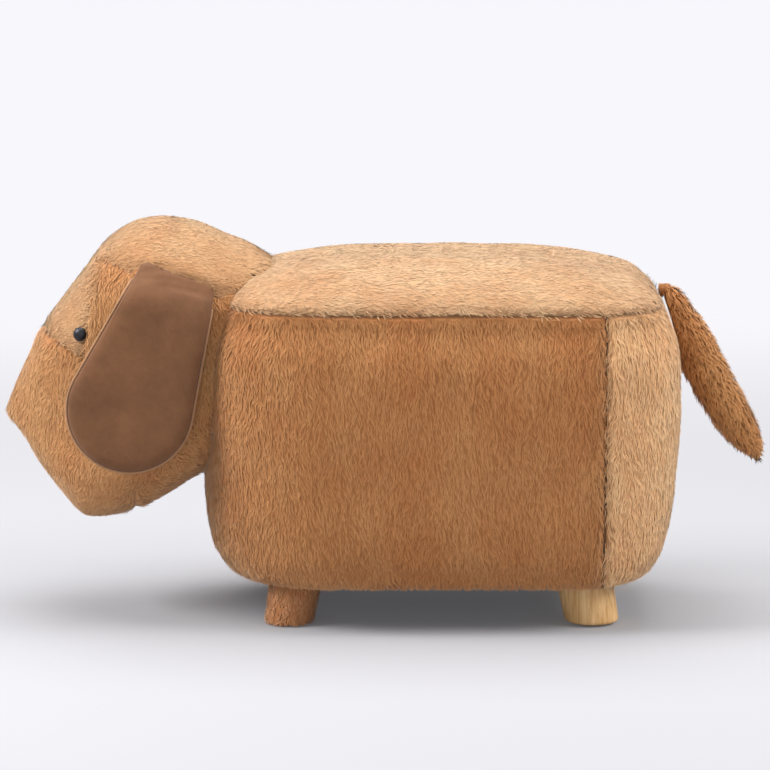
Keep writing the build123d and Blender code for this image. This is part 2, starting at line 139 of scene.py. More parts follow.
floor_mesh = bpy.data.meshes.new("studio_floor")
floor_mesh.from_pydata(
    [(-12, -4, 0), (12, -4, 0), (12, 14, 0), (-12, 14, 0)], [], [(0, 1, 2, 3)]
)
new_object("studio_floor", floor_mesh)
paper, tree, shader = new_material("studio_paper", {
    "Base Color": (0.40, 0.40, 0.42, 1), "Roughness": 0.9, "Specular IOR Level": 0.1,
})
glow = node(tree, "Emission", {"Color": backdrop_colour})
apart = node(tree, "SeparateXYZ", {0: node(tree, "TexCoord").outputs["Object"]})
fade = node(
    tree, "MapRange",
    {"Value": apart.outputs["Y"], "From Min": 0.1, "From Max": 1.7, "To Min": 0.06},
    interpolation_type="SMOOTHSTEP",
)
mix = node(tree, "MixShader", {0: fade, 1: shader, 2: glow})
tree.links.new(mix.outputs[0], tree.nodes["Material Output"].inputs["Surface"])
floor_mesh.materials.append(paper)

# Seat cover: the plush panel over the seat foam. It is short-pile camel fur on a knitted back,
# cut to the body's outline, domed by the foam under it and sewn to the flanks all round.
fur_root, fur_mid, fur_tip = (0.385, 0.158, 0.055), (0.465, 0.205, 0.075), (0.58, 0.283, 0.112)
fur_red = (0.90, 0.80, 0.74)
body_front, body_rear, body_half = -0.165, 0.2555, 0.14
seam_height, seat_height, underside = 0.276, 0.320, 0.038
rear_seam, bottom_draw_in = 0.186, 0.034
front_corner, rear_corner = 0.78, 0.55  # shares of the half width
pile_room = 0.0032
skin_top = seat_height - pile_room


def ease(t, xs, ys):
    """Smooth curve through the points (xs, ys): a cubic in each span whose slopes are the
    table's own gradients."""
    xs, ys = np.array(xs, float), np.array(ys, float)
    slopes = np.gradient(ys, xs)
    k = np.clip(np.searchsorted(xs, t, "right") - 1, 0, len(xs) - 2)
    span = xs[k + 1] - xs[k]
    s = (t - xs[k]) / span
    return (
        (2 * s**3 - 3 * s**2 + 1) * ys[k]
        + (s**3 - 2 * s**2 + s) * span * slopes[k]
        + (3 * s**2 - 2 * s**3) * ys[k + 1]
        + (s**3 - s**2) * span * slopes[k + 1]
    )


def half_outline(end, side, counts, part="whole"):
    """Left half of the body's outline, drawn in by `end` at front and rear and by `side`, from
    the middle of its front to the middle of its rear: flat, round corner, side, round corner,
    flat. Part "flank" stops at the rear seam and part "rump" starts there, wherever that falls
    on the side or the corner. Draw-ins are columns, one row per level; the result has a row of
    points per level."""
    front, rear, half = body_front + end, body_rear - end, body_half - side
    r1, r2 = front_corner * half, rear_corner * half
    s = [np.linspace(0, 1, n, endpoint=False)[None, :] for n in counts]
    turn = np.pi + s[1] * np.pi / 2
    begin = [
        (front + 0 * s[0], -(half - r1) * s[0]),
        (front + r1 + r1 * np.cos(turn), -(half - r1) + r1 * np.sin(turn)),
    ]
    centre = rear - r2
    past = np.arcsin(np.clip((rear_seam - centre) / r2, 0, 1)) if part == "rump" else 0
    turn = 1.5 * np.pi + past + s[3] ** 1.5 * (np.pi / 2 - past)
    last = np.linspace(0, 1, counts[4])[None, :]
    finish = [
        (centre + r2 * np.cos(turn), -(half - r2) + r2 * np.sin(turn)),
        (rear + 0 * last, -(half - r2) * (1 - last)),
    ]
    if part == "flank":
        share = 1 - (1 - np.linspace(0, 1, counts[2])[None, :]) ** 1.7
        x = front + r1 + (rear_seam - front - r1) * share
        beyond = np.maximum(x - centre, 0)
        parts = begin + [(x, -(half - r2) - np.sqrt(r2**2 - beyond**2))]
    elif part == "rump":
        x = rear_seam + np.maximum(centre - rear_seam, 0) * s[2]
        parts = [(x, -(half - r2) - r2 * np.cos(past) + 0 * x)] + finish
    else:
        x = front + r1 + (centre - front - r1) * s[2]
        parts = begin + [(x, -half + 0 * x)] + finish
    shape = [(len(half), p[0].shape[1]) for p in parts]
    x = np.concatenate([np.broadcast_to(p[0], n) for p, n in zip(parts, shape)], 1)
    y = np.concatenate([np.broadcast_to(p[1], n) for p, n in zip(parts, shape)], 1)
    return x, y


def with_mirror(left):
    """A grid of left-half points followed by its mirror image, so that its rows close."""
    return np.concatenate([left, left[:, ::-1] * np.array([1, -1, 1])], 1)


def crosses(points, faces):
    """Cross product of the diagonals of each face: its normal, as long as twice its area."""
    one, two, three, four = (points[faces[:, k]] for k in range(4))
    return np.cross(three - one, four - two)


def sheet_of(points):
    """Vertices, four-cornered faces and map corners of a grid of points. Rows and columns
    that coincide are welded, so rings close and poles have one point."""
    rows, cols = points.shape[:2]
    index = np.arange(rows * cols).reshape(rows, cols)
    faces = np.stack(
        [index[:-1, :-1], index[:-1, 1:], index[1:, 1:], index[1:, :-1]], -1
    ).reshape(-1, 4)
    across = np.linalg.norm(np.diff(points, axis=1), axis=2).max(0)
    down = np.linalg.norm(np.diff(points, axis=0), axis=2).max(1)
    u = np.concatenate([[0], np.cumsum(across)]) / max(across.sum(), 1e-9)
    v = np.concatenate([[0], np.cumsum(down)]) / max(down.sum(), 1e-9)
    grid = np.stack(np.meshgrid(u, v), -1)
    corners = np.stack([grid[:-1, :-1], grid[:-1, 1:], grid[1:, 1:], grid[1:, :-1]], 2)
    corners = corners.reshape(-1, 4, 2)
    flat = points.reshape(-1, 3)
    _, first, back = np.unique(
        np.round(flat, 6), axis=0, return_index=True, return_inverse=True
    )
    faces = back.reshape(-1)[faces]
    keep = np.linalg.norm(crosses(flat[first], faces), axis=1) > 1e-12
    return flat[first], faces[keep], corners[keep]


def normals_of(points, faces):
    """Vertex normals: the sum of the cross products of the diagonals of the faces round it."""
    cross = crosses(points, faces)
    total = np.zeros_like(points)
    for corner in range(4):
        np.add.at(total, faces[:, corner], cross)
    return total / np.maximum(np.linalg.norm(total, axis=1, keepdims=True), 1e-12)


def facing(grid, core):
    """The welded sheet of a grid, its faces turned round, if need be, so that their fronts look
    away from the core."""
    points, faces, corners = sheet_of(grid)
    if np.sum(normals_of(points, faces) * (points - np.array(core))) < 0:
        faces, corners = faces[:, ::-1], corners[:, ::-1]
    return points, faces, corners


def lumps(points, size, seed):
    """Soft unevenness from -1 to 1: the mean of eight sine waves of about one size whose
    directions and phases are drawn at random."""
    draw = np.random.default_rng(seed)
    ways = draw.normal(size=(8, 3))
    ways *= 2 * np.pi / size / np.linalg.norm(ways, axis=1, keepdims=True)
    ways *= draw.uniform(0.6, 1.6, (8, 1))
    return np.sin(points @ ways.T + draw.uniform(0, 6.3, 8)).mean(1) * 1.7


def closeness(distance, width):
    """Share that is 1 at a line and falls off away from it as a bell curve of that width."""
    return np.exp(-((distance / width) ** 2))


def rows_of(faces):
    """Faces as lists for a mesh, where a face with two equal corners becomes a triangle."""
    rows = [list(dict.fromkeys(f)) for f in faces.tolist()]
    return [r for r in rows if len(r) > 2]


def stuffed(points, faces, cap=0.0012):
    """The skin pressed out by the filling behind it: a cloth simulation of twenty frames with
    pressure on its inner side and no gravity, on a panel cut a little too wide. Its open border
    is held, since it is sewn to the next panel. What the simulation gives is kept as relief: each
    point's move along the skin's normal, less the mean, capped and four times averaged with its
    neighbours, fading out at the border and in the hem."""
    hem_top = 0.044
    mesh = bpy.data.meshes.new("stuffing")
    mesh.from_pydata(points.tolist(), [], rows_of(faces))
    thing = new_object("stuffing", mesh)
    ends = np.concatenate([faces[:, [k, (k + 1) % 4]] for k in range(4)])
    ends = np.sort(ends[ends[:, 0] != ends[:, 1]], 1)
    edges, often = np.unique(ends, axis=0, return_counts=True)
    border = np.unique(edges[often == 1])
    held = thing.vertex_groups.new(name="held")
    held.add(border.tolist(), 1.0, "REPLACE")
    cloth = thing.modifiers.new("cloth", "CLOTH")
    for key, value in {
        "quality": 4, "mass": 0.001, "tension_stiffness": 12, "compression_stiffness": 12,
        "shear_stiffness": 6, "bending_stiffness": 0.02, "use_pressure": True,
        "uniform_pressure_force": 4, "shrink_min": -0.02, "vertex_group_mass": "held",
    }.items():
        setattr(cloth.settings, key, value)
    cloth.settings.effector_weights.gravity = 0
    cloth.collision_settings.use_collision = False
    cloth.point_cache.frame_end = 20
    for moment in range(1, 21):
        scene.frame_set(moment)
    shape = thing.evaluated_get(bpy.context.evaluated_depsgraph_get()).data
    place = np.zeros(3 * len(points))
    shape.vertices.foreach_get("co", place)
    scene.frame_set(1)
    bpy.data.objects.remove(thing)
    bpy.data.meshes.remove(mesh)
    normals = normals_of(points, faces)
    move = ((place.reshape(-1, 3) - points) * normals).sum(1)
    move = np.clip(move - move.mean(), -cap, cap)
    loose = np.ones(len(points))
    loose[border] = 0
    loose[points[:, 2] < hem_top] = 0
    for _ in range(4):
        near_move, near_loose, number = np.zeros((3, len(points)))
        for a, b in ((0, 1), (1, 0)):
            np.add.at(near_move, edges[:, a], move[edges[:, b]])
            np.add.at(near_loose, edges[:, a], loose[edges[:, b]])
            np.add.at(number, edges[:, a], 1)
        move = 0.4 * move + 0.6 * near_move / np.maximum(number, 1)
        loose = np.minimum(loose, 0.4 * loose + 0.6 * near_loose / np.maximum(number, 1))
    return points + normals * (move * loose)[:, None]


def puckers(points, up, off_seam):
    """The skin with small gathers beside a seam: short waves that fade out away from it."""
    fade = np.exp(-off_seam / 0.012) * np.clip(off_seam / 0.001, 0, 1)
    return points + up * (0.0008 * fade * lumps(points, 0.011, 91))[:, None]


def pelt(name, sheet, nap, body, nodes, each, length, width, lean, seed, swirl=0.22, relief=1.0,
         wild=None, density=None, dark=0.0, calm=None, keep_clear=None, material=None, wall=0.0015):
    """A fur panel as one closed mesh. The skin is the given sheet and the same sheet a wall
    thickness below it, joined round the border. On it stand leaning locks of fur, one for each
    `each` square metres: a lock is a blade of two spans from a root under the skin to a pointed
    tip, turned towards the nap and by a random angle (swirl), and its face looks away from the
    skin. Per point of the skin, wild loosens the locks, density thins them out, dark is painted
    shade, how much the skin's colour is darkened where it lies down in a seam, and calm gives the
    normals that they are lit by. Relief is how much these normals differ from lock to lock, and
    keep_clear moves points out of the way."""
    points, faces, corners = sheet
    draw = np.random.default_rng(seed)
    normals = normals_of(points, faces)
    inner = points - normals * wall
    count = len(points)
    pairs = np.concatenate([faces[:, [k, (k + 1) % 4]] for k in range(4)])
    pairs = pairs[pairs[:, 0] != pairs[:, 1]]
    _, where, often = np.unique(
        np.sort(pairs, 1), axis=0, return_index=True, return_counts=True
    )
    rim = pairs[where[often == 1]]
    strips = np.stack([rim[:, 1], rim[:, 0], rim[:, 0] + count, rim[:, 1] + count], 1)
    hem = np.array([[0.94, 0.0], [0.95, 0.0], [0.95, 0.01], [0.94, 0.01]])
    skin = np.concatenate([faces, faces[:, ::-1] + count, strips])
    outer_map = corners * np.array([0.9, 1.0])
    inner_map = corners[:, ::-1] * np.array([0.04, 1.0]) + np.array([0.95, 0.0])
    skin_map = np.concatenate([outer_map, inner_map, np.broadcast_to(hem, (len(strips), 4, 2))])

    # Roots: faces drawn by their area, and a random place in each.
    quad = points[faces]
    sides = (quad[:, 1] + quad[:, 2] - quad[:, 0] - quad[:, 3]) / 2
    downs = (quad[:, 3] + quad[:, 2] - quad[:, 0] - quad[:, 1]) / 2
    area = np.linalg.norm(np.cross(sides, downs), axis=1)
    if density is not None:
        area = area * density[faces].mean(1)
    most_triangles = 195000
    number = int(min(area.sum() / each, (most_triangles - 4 * len(faces)) / 3))
    pick = draw.choice(len(faces), number, p=area / area.sum())
    a, b = draw.random((2, number, 1))
    weights = np.stack([(1 - a) * (1 - b), a * (1 - b), a * b, (1 - a) * b], 1)

    def at_roots(values):
        """Values of the skin's points, mixed for the place of each root."""
        return (values[faces[pick]] * weights).sum(1)

    root, up, way = at_roots(points), at_roots(normals), at_roots(nap)
    up /= np.linalg.norm(up, axis=1, keepdims=True)
    spot = (outer_map[pick] * weights).sum(1)
    way -= up * (way * up).sum(1, keepdims=True)
    way /= np.maximum(np.linalg.norm(way, axis=1, keepdims=True), 1e-9)
    side = np.cross(up, way)

    # Locks: two points at the root, two in the middle and one at the tip.
    loose = np.ones(number) if wild is None else at_roots(wild[:, None])[:, 0]
    crush = lumps(root, 0.010, seed + 2)
    turn = draw.normal(0, swirl, number) * loose + 0.3 * lumps(root, 0.03, seed + 1) + 0.4 * crush
    turn = turn[:, None]
    way, side = np.cos(turn) * way + np.sin(turn) * side, np.cos(turn) * side - np.sin(turn) * way
    roll = draw.normal(0, 0.08, number)[:, None]
    glint = draw.normal(0, 0.16, number)[:, None]
    broad = np.cos(roll) * side + np.sin(roll) * up
    long = (length * draw.uniform(0.65, 1.25, number) * (0.75 + 0.25 * loose))[:, None]
    rise = (lean * draw.uniform(0.6, 1.3, number) * (0.6 + 0.4 * loose))[:, None]
    thick = (width * draw.uniform(0.7, 1.2, number))[:, None]
    base = root - up * min(0.0006, 0.25 * length * lean)
    middle = base + long * 0.5 * (np.cos(rise * 1.3) * way + np.sin(rise * 1.3) * up)
    tip = middle + long * 0.5 * (np.cos(rise * 0.6) * way + np.sin(rise * 0.6) * up)
    lock = np.stack([
        base - broad * thick * 0.35, base + broad * thick * 0.35,
        middle - broad * thick * 0.5, middle + broad * thick * 0.5, tip,
    ], 1)
    if keep_clear is not None:
        lock = keep_clear(lock.reshape(-1, 3)).reshape(-1, 5, 3)

    # Each lock lies in the skin's map where its points would fall on the skin.
    step = lock - root[:, None, :]
    s, d = sides[pick][:, None, :], downs[pick][:, None, :]
    span_u = (outer_map[pick][:, 1] - outer_map[pick][:, 0])[:, None, :]
    span_v = (outer_map[pick][:, 3] - outer_map[pick][:, 0])[:, None, :]
    lock_map = (
        spot[:, None, :]
        + (step * s).sum(2, keepdims=True) / (s * s).sum(2, keepdims=True) * span_u
        + (step * d).sum(2, keepdims=True) / (d * d).sum(2, keepdims=True) * span_v
    )
    lock_map = np.clip(lock_map, 0.001, [0.9, 0.999])
    first = 2 * count + 5 * np.arange(number)[:, None]
    lower = first + np.array([[0, 2, 3, 1]])
    upper = first + np.array([[2, 4, 3]])

    # Skin faces with two equal corners become triangles that start after the doubled one.
    doubled = skin == np.roll(skin, -1, 1)
    thin = doubled.any(1)
    last_doubled = 3 - np.argmax(doubled[thin][:, ::-1], 1)
    order = (last_doubled[:, None] + np.array([[1, 2, 3]])) % 4
    three = np.concatenate([np.take_along_axis(skin[thin], order, 1), upper])
    three_map = np.take_along_axis(skin_map[thin], order[:, :, None], 1)
    three_map = np.concatenate([three_map, lock_map[:, [2, 4, 3]]])
    four = np.concatenate([skin[~thin], lower])
    four_map = np.concatenate([skin_map[~thin], lock_map[:, [0, 2, 3, 1]]])
    everything = np.concatenate([points, inner, lock.reshape(-1, 3)])
    mesh = bpy.data.meshes.new(name)
    mesh.from_pydata(everything.tolist(), [], four.tolist() + three.tolist())
    mesh.uv_layers.new(name="OFBake").data.foreach_set(
        "uv", np.concatenate([four_map.ravel(), three_map.ravel()]).astype(np.float32)
    )
    # The skin's colour sits near the roots'; dark pushes it below zero in a seam, which the fur
    # colour turns into painted shade.
    skin_along_with_seam_shade = 0.12 - (dark + np.zeros(count))
    along = np.concatenate([skin_along_with_seam_shade, skin_along_with_seam_shade, np.tile([0, 0, 0.55, 0.55, 1], number)])
    tone = np.concatenate([np.full(2 * count, 0.4), np.repeat(draw.random(number), 5)])
    for label, values in (("along", along), ("tone", tone)):
        mesh.attributes.new(label, "FLOAT", "POINT").data.foreach_set(
            "value", values.astype(np.float32)
        )
    mesh.polygons.foreach_set("use_smooth", np.ones(len(mesh.polygons), bool))
    lit = up if calm is None else at_roots(calm)
    shade = lit + relief * (0.22 * crush[:, None] - 0.4 * np.sin(glint)) * side
    shade = shade + relief * draw.normal(0, 0.05, (number, 3))
    shade = np.repeat(shade / np.linalg.norm(shade, axis=1, keepdims=True), 5, 0)
    shade = np.concatenate([normals, -normals, shade])
    mesh.normals_split_custom_set_from_vertices(shade.tolist())
    mesh.materials.append(material or plush)
    thing = new_object(name, mesh)
    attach(thing, body)
    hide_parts(*nodes)


def group_of(name, inputs, outputs):
    """An empty shader group with its named inputs and outputs, an input's kind taken from its
    value: a colour is three numbers, a float is one."""
    made = bpy.data.node_groups.new(name, "ShaderNodeTree")
    for label, value in inputs.items():
        kind = "NodeSocketColor" if isinstance(value, tuple) else "NodeSocketFloat"
        socket = made.interface.new_socket(label, in_out="INPUT", socket_type=kind)
        socket.default_value = (*value, 1) if isinstance(value, tuple) else value
    for label, kind in outputs.items():
        made.interface.new_socket(label, in_out="OUTPUT", socket_type=kind)
    return made, made.nodes.new("NodeGroupInput").outputs, made.nodes.new("NodeGroupOutput")


# Fur colour: dark at the roots, partly the plush's own colour and partly painted shade between the
# locks, lighter to their tips, each lock a little different, in wide patches that lean to red or to
# sand. Skin lying down in a seam is darkened further, as painted shade.
fur_colour, given, result = group_of(
    "fur_colour", {"Root": fur_root, "Middle": fur_mid, "Tip": fur_tip, "Red": fur_red},
    {"Colour": "NodeSocketColor"},
)
t = fur_colour
along = node(t, "Attribute", attribute_name="along").outputs["Fac"]
tone = node(t, "Attribute", attribute_name="tone").outputs["Fac"]
place = node(t, "TexCoord").outputs["Object"]
lower = node(t, "MapRange", {"Value": along, "From Min": 0.0, "From Max": 0.5})
upper = node(t, "MapRange", {"Value": along, "From Min": 0.5, "From Max": 1.0})
lock = blended(t, upper, blended(t, lower, given["Root"], given["Middle"]), given["Tip"])
vary = node(t, "MapRange", {"Value": tone, "To Min": 0.91, "To Max": 1.08})
# Painted shade: skin whose along is below zero, down in a seam, is darkened to as little as 0.3 of
# its colour.
painted_seam_shade = node(t, "MapRange", {
    "Value": along, "From Min": -0.88, "From Max": 0.0, "To Min": 0.30, "To Max": 1.0,
})
level = maths(t, "MULTIPLY", vary, painted_seam_shade)
drawn = node(t, "VectorMath", {0: place, 1: (1.0, 1.0, 0.55)}, operation="MULTIPLY")
patch = node(t, "TexNoise", {"Vector": drawn, "Scale": 22.0, "Detail": 5.0, "Roughness": 0.6})
spread = node(t, "MapRange", {"Value": patch, "From Min": 0.38, "From Max": 0.64})
wide_tint = blended(t, spread, (1, 1, 1, 1), given["Red"])
tinted = blended(t, 1.0, lock, wide_tint, "MULTIPLY")
shaded = node(t, "VectorMath", {0: tinted, "Scale": level}, operation="SCALE")
t.links.new(shaded.outputs[0], result.inputs["Colour"])


def plush_material(name, root=fur_root, middle=fur_mid, tip=fur_tip):
    """Fur material: the fur colour group on a rough shader with a soft white sheen. The normal
    is turned round where a lock is seen from behind, so that its back is lit as its front."""
    made, tree, shader = new_material(name, {
        "Roughness": 0.85, "Specular IOR Level": 0.15, "Sheen Weight": 0.3,
        "Sheen Roughness": 0.5, "Sheen Tint": (1, 0.90, 0.70, 1),
    })
    colours = {"Root": (*root, 1), "Middle": (*middle, 1), "Tip": (*tip, 1), "Red": (*fur_red, 1)}
    fur = node(tree, "Group", colours, node_tree=fur_colour)
    tree.links.new(fur.outputs["Colour"], shader.inputs["Base Color"])
    surface = node(tree, "NewGeometry").outputs
    behind = node(tree, "MapRange", {"Value": surface["Backfacing"], "To Min": 1.0, "To Max": -1.0})
    outward = node(tree, "VectorMath", {0: surface["Normal"], "Scale": behind}, operation="SCALE")
    tree.links.new(outward.outputs[0], shader.inputs["Normal"])
    return made


plush = plush_material("plush")
# The seat's fur is the same plush as the flanks with its colours painted paler and less red, which
# stands in for the light that falls on the top.
seat_fur_painted_light = plush_material(
    "seat_fur_painted_light", (0.48, 0.275, 0.140), (0.53, 0.320, 0.170), (0.59, 0.385, 0.225))


def groove(distance, depth, width):
    """How far a seam pulls the skin in at a distance from it."""
    return depth * np.exp(-((distance / width) ** 2))


def body_draw(height):
    """(end, side) draw-in of the body in metres at a height, from the widest outline: below the top
    seam from the flanks' table and above it from the seat's, which holds its last ring's draw-in
    above the seat."""
    share = np.clip((height - underside) / (seam_height - underside), 0, 1)
    rows = [0, .027, .076, .185, .395, .664, .849, 1]
    end = bottom_draw_in * ease(share, rows, [1, .69, .46, .25, .095, 0, .075, .4])
    side = bottom_draw_in * ease(share, rows, [.94, .64, .42, .22, .08, 0, .06, .31])
    over = np.clip((height - seam_height) / (seat_height - seam_height), 0, 1)
    rows = [0, .258, .515, .742, .907, 1]
    top_end = body_half * ease(over, rows, [.0971, .135, .23, .37, .55, .76])
    top_side = body_half * ease(over, rows, [.0753, .11, .19, .31, .46, .63])
    high = height > seam_height
    return np.where(high, top_end, end), np.where(high, top_side, side)


def seat_sag(x):
    """How much lower the dome of the seat lies towards its front and rear end."""
    return 0.0024 + 0.0036 * np.clip(np.abs(x - 0.045) / 0.12, 0, 1.3) ** 2


levels = np.concatenate(
    [np.linspace(0, 0.16, 9), np.linspace(0.16, 0.9, 22)[1:], [0.94, 0.97, 0.99, 1.0]])
height = (seam_height + levels * (skin_top - seam_height))[:, None]
end, side = body_draw(height + pile_room * levels[:, None])
pull = groove(height - seam_height, 0.0024, 0.0020)
end, side = end + pile_room + pull, side + pile_room + pull
x, y = half_outline(end, side, (10, 30, 46, 24, 14))
ring = np.stack([x, y, np.broadcast_to(height, x.shape)], -1)
inward = np.linspace(1, 0, 16)[1:, None, None]
spine = ring[-1] * np.array([1, 0, 0]) + np.array([0, 0, skin_top])
spine[:, 0] = np.clip(spine[:, 0], -0.06, 0.15)
left = np.concatenate([ring, spine[None] + (ring[-1] - spine)[None] * inward])
domed = np.clip((left[..., 2] - seam_height) / (skin_top - seam_height), 0, 1)
left[..., 2] -= seat_sag(left[..., 0]) * domed**1.5
points, faces, corners = facing(with_mirror(left), (0.05, 0, 0.1))
up = normals_of(points, faces)
points = points + up * (0.0007 * lumps(points, 0.07, 3))[:, None]
points = stuffed(puckers(points, up, points[:, 2] - seam_height), faces)
nap = np.array([1.0, 0, -0.15]) + 0.5 * up * np.array([1, 1, 0])
off_seam = points[:, 2] - seam_height
pelt(
    "seat_plush", (points, faces, corners), nap, "stool", ["seat_cover"],
    1.8e-6, 0.0056, 0.0009, 0.14, 11, swirl=0.2, relief=0.5, material=seat_fur_painted_light,
    wild=1 + 1.3 * closeness(off_seam, 0.008), density=1 - closeness(off_seam, 0.0006),
    # dark: painted shade on the skin in the seam round the seat.
    dark=closeness(off_seam, 0.0014),
)

# Flank and rump covers: plush panels round the sides, one from the middle of the front round each
# flank to an upright seam, and one round the rear. Their lower edge is turned in under the box and
# stapled.
hem_width, hem_rise, rear_pull = 0.014, 0.0004, (0.0048, 0.0036)
levels = np.concatenate(
    [np.linspace(1, 0.97, 9), np.linspace(0.97, 0.12, 38)[1:], np.linspace(0.12, 0, 14)[1:]])
height = (underside + levels * (seam_height - underside))[:, None]
end, side = body_draw(np.minimum(height, seam_height))
pull = groove(seam_height - height, 0.0018, 0.0014)
end, side = end + pile_room + pull, side + pile_room + pull
tuck = np.linspace(0, hem_width, 5)[1:, None]
height = np.concatenate([height, np.full((4, 1), underside + hem_rise)])
end = np.concatenate([end, end[-1:] + tuck])
side = np.concatenate([side, side[-1:] + tuck])
upright = np.clip((seam_height - height) / 0.006, 0, 1)


def side_panel(name, grid, core, nap_of, cover, length, lean, seed, material=None):
    """A side cover over its grid of skin points: made lumpy, gathered beside its seams and
    pressed out, with fur that hangs down and is ruffled and denser under the top seam."""
    points, faces, corners = facing(grid, core)
    up = normals_of(points, faces)
    points = points + up * (0.0009 * lumps(points, 0.06, 5))[:, None] * (points[:, 2:] > 0.045)
    off_seam = np.minimum(seam_height - points[:, 2], np.abs(rear_seam - points[:, 0]))
    points = stuffed(puckers(points, up, off_seam), faces)
    below = seam_height - points[:, 2]
    calm = normals_of(points, faces)
    calm[:, 2] *= np.clip(below / 0.012, 0, 1)
    pelt(
        name, (points, faces, corners), nap_of(points), "stool", [cover],
        2.3e-6, length, 0.0009, lean, seed, swirl=0.16, calm=calm, material=material,
        # dark: painted shade on the skin in the seams of the side covers.
        wild=1 + 0.7 * closeness(off_seam, 0.010), dark=closeness(off_seam, 0.0014),
        density=(1 - closeness(off_seam, 0.0006)) * (1 + 3 * closeness(below, 0.0025)),
    )


def flank_nap(points):
    """Down and a little to the rear, and inwards on the hem under the box."""
    nap = np.array([0.06, 0, -1.0]) + 0 * points
    under = points[:, 2] < underside + 0.003
    nap[under] = points[under] * np.array([0, -1, 0])
    return nap


for sign, word in ((-1, "left"), (1, "right")):
    x, y = half_outline(end, side, (10, 34, 62, 26, 14), "flank")
    y = y + groove(rear_seam - x, *rear_pull) * (x > 0) * upright
    grid = np.stack([x, -sign * y, np.broadcast_to(height, x.shape)], -1)
    side_panel(f"flank_{word}_plush", grid, (0.01, 0, 0.16), flank_nap, f"flank_cover_{word}",
               0.0082, 0.20, 21 + sign)

# The rump panel is the same plush as the flanks with its colours painted brighter, which stands in
# for the light that falls on the rear corner from the right.
rump_fur_painted_light = plush_material(
    "rump_fur_painted_light", (0.54, 0.28, 0.125), (0.76, 0.43, 0.205), (0.90, 0.59, 0.33))
x, y = half_outline(end, side, (10, 34, 6, 34, 14), "rump")
y = y + groove(x - rear_seam, *rear_pull) * upright
left = np.stack([x, y, np.broadcast_to(height, x.shape)], -1)
side_panel("rump_plush", with_mirror(left), (0.1, 0, 0.16),
           lambda points: np.array([0.0, 0, -1.0]) + 0 * points,
           "rump_cover", 0.0078, 0.18, 27, rump_fur_painted_light)

# Head covers: plush over the stuffed head, in a crown with the forehead strip, two cheeks, a
# muzzle and a throat panel, pulled in along the seams between them and closed against the body.
# The crown is the same plush as the rest of the head with its colours painted paler, which stands
# in for the light that falls on the top of the head.
crown_fur_painted_light = plush_material(
    "crown_fur_painted_light", (0.42, 0.225, 0.105), (0.49, 0.275, 0.135), (0.58, 0.355, 0.185))
head_fur = plush_material(
    "head_fur", (0.41, 0.185, 0.070), (0.50, 0.240, 0.096), (0.62, 0.330, 0.142))
nose_x, head_length, head_room = -0.331, 0.233, 0.0012
chin, crown_height, head_half = 0.0835, 0.346, 0.088
top_corner, chin_corner, most_corner = 0.92, 0.8, 0.49  # shares of the half width and height
# Length share from the nose, top and chin as shares of the height, and share of the half width.
head_rows = np.array([
    (0.0, .375, .335, .09), (.008, .395, .322, .16), (.025, .432, .304, .235),
    (.06, .497, .268, .335), (.12, .612, .176, .48), (.202, .722, .085, .62),
    (.288, .82, .008, .75), (.356, .902, 0, .845), (.455, .97, .018, .935),
    (.562, .998, .06, 1), (.69, .985, .128, 1), (.82, .944, .224, .965),
    (.94, .893, .4, .87), (1, .845, .56, .76),
])
s = np.concatenate([np.linspace(0, 0.12, 12), np.linspace(0.12, 1, 68)[1:]])[:, None]
rise = crown_height - chin
high = chin + rise * ease(s, head_rows[:, 0], head_rows[:, 1]) - head_room
low = chin + rise * ease(s, head_rows[:, 0], head_rows[:, 2]) + head_room
half = head_half * ease(s, head_rows[:, 0], head_rows[:, 3]) - head_room
limit = most_corner * (high - low)
r_top, r_chin = np.minimum(top_corner * half, limit), np.minimum(chin_corner * half, limit)
# Each ring runs from under the chin round its corner, up the side, round the crown's corner and
# over the top.
k = [np.linspace(0, 1, n, endpoint=False)[None, :] for n in (5, 14, 18, 18, 5)]
top = np.linspace(0, 1, 6)[None, :]
chin_turn, crown_turn = 1.5 * np.pi - k[1] * np.pi / 2, np.pi - k[3] * np.pi / 2
y = np.concatenate([
    -(half - r_chin) * k[0], -(half - r_chin) + r_chin * np.cos(chin_turn), -half + 0 * k[2],
    -(half - r_top) + r_top * np.cos(crown_turn), -(half - r_top) * (1 - top),
], 1)
z = np.concatenate([
    low + 0 * k[0], low + r_chin + r_chin * np.sin(chin_turn),
    low + r_chin + (high - low - r_chin - r_top) * k[2],
    high - r_top + r_top * np.sin(crown_turn), high + 0 * top,
], 1)
x = nose_x + head_room + s * (head_length - head_room)
ring = with_mirror(np.stack([np.broadcast_to(x, y.shape), y, z], -1))
nose = np.array([nose_x + head_room - 0.0012, 0, (high[0, 0] + low[0, 0]) / 2])
tip = 0 * ring[:1] + nose
halfway = (tip + ring[:1]) / 2 - np.array([0.0007, 0, 0])
points, faces, corners = facing(np.concatenate([tip, halfway, ring]), (-0.2, 0, 0.2))
up = normals_of(points, faces)


def share_points(*shares):
    """Side-view points (x, z) at shares of the head's length and height."""
    return [(nose_x + a * head_length, chin + b * rise) for a, b in shares]


def line_distance(points, *shares):
    """Distance in the side view from each point to a line through (length, height) shares."""
    line = np.array(share_points(*shares))
    flat = points[:, [0, 2]]
    best = np.full(len(points), 1.0)
    for start, stop in zip(line[:-1], line[1:]):
        way = stop - start
        t = np.clip((flat - start) @ way / (way @ way), 0, 1)
        best = np.minimum(best, np.linalg.norm(flat - start - t[:, None] * way, axis=1))
    return best


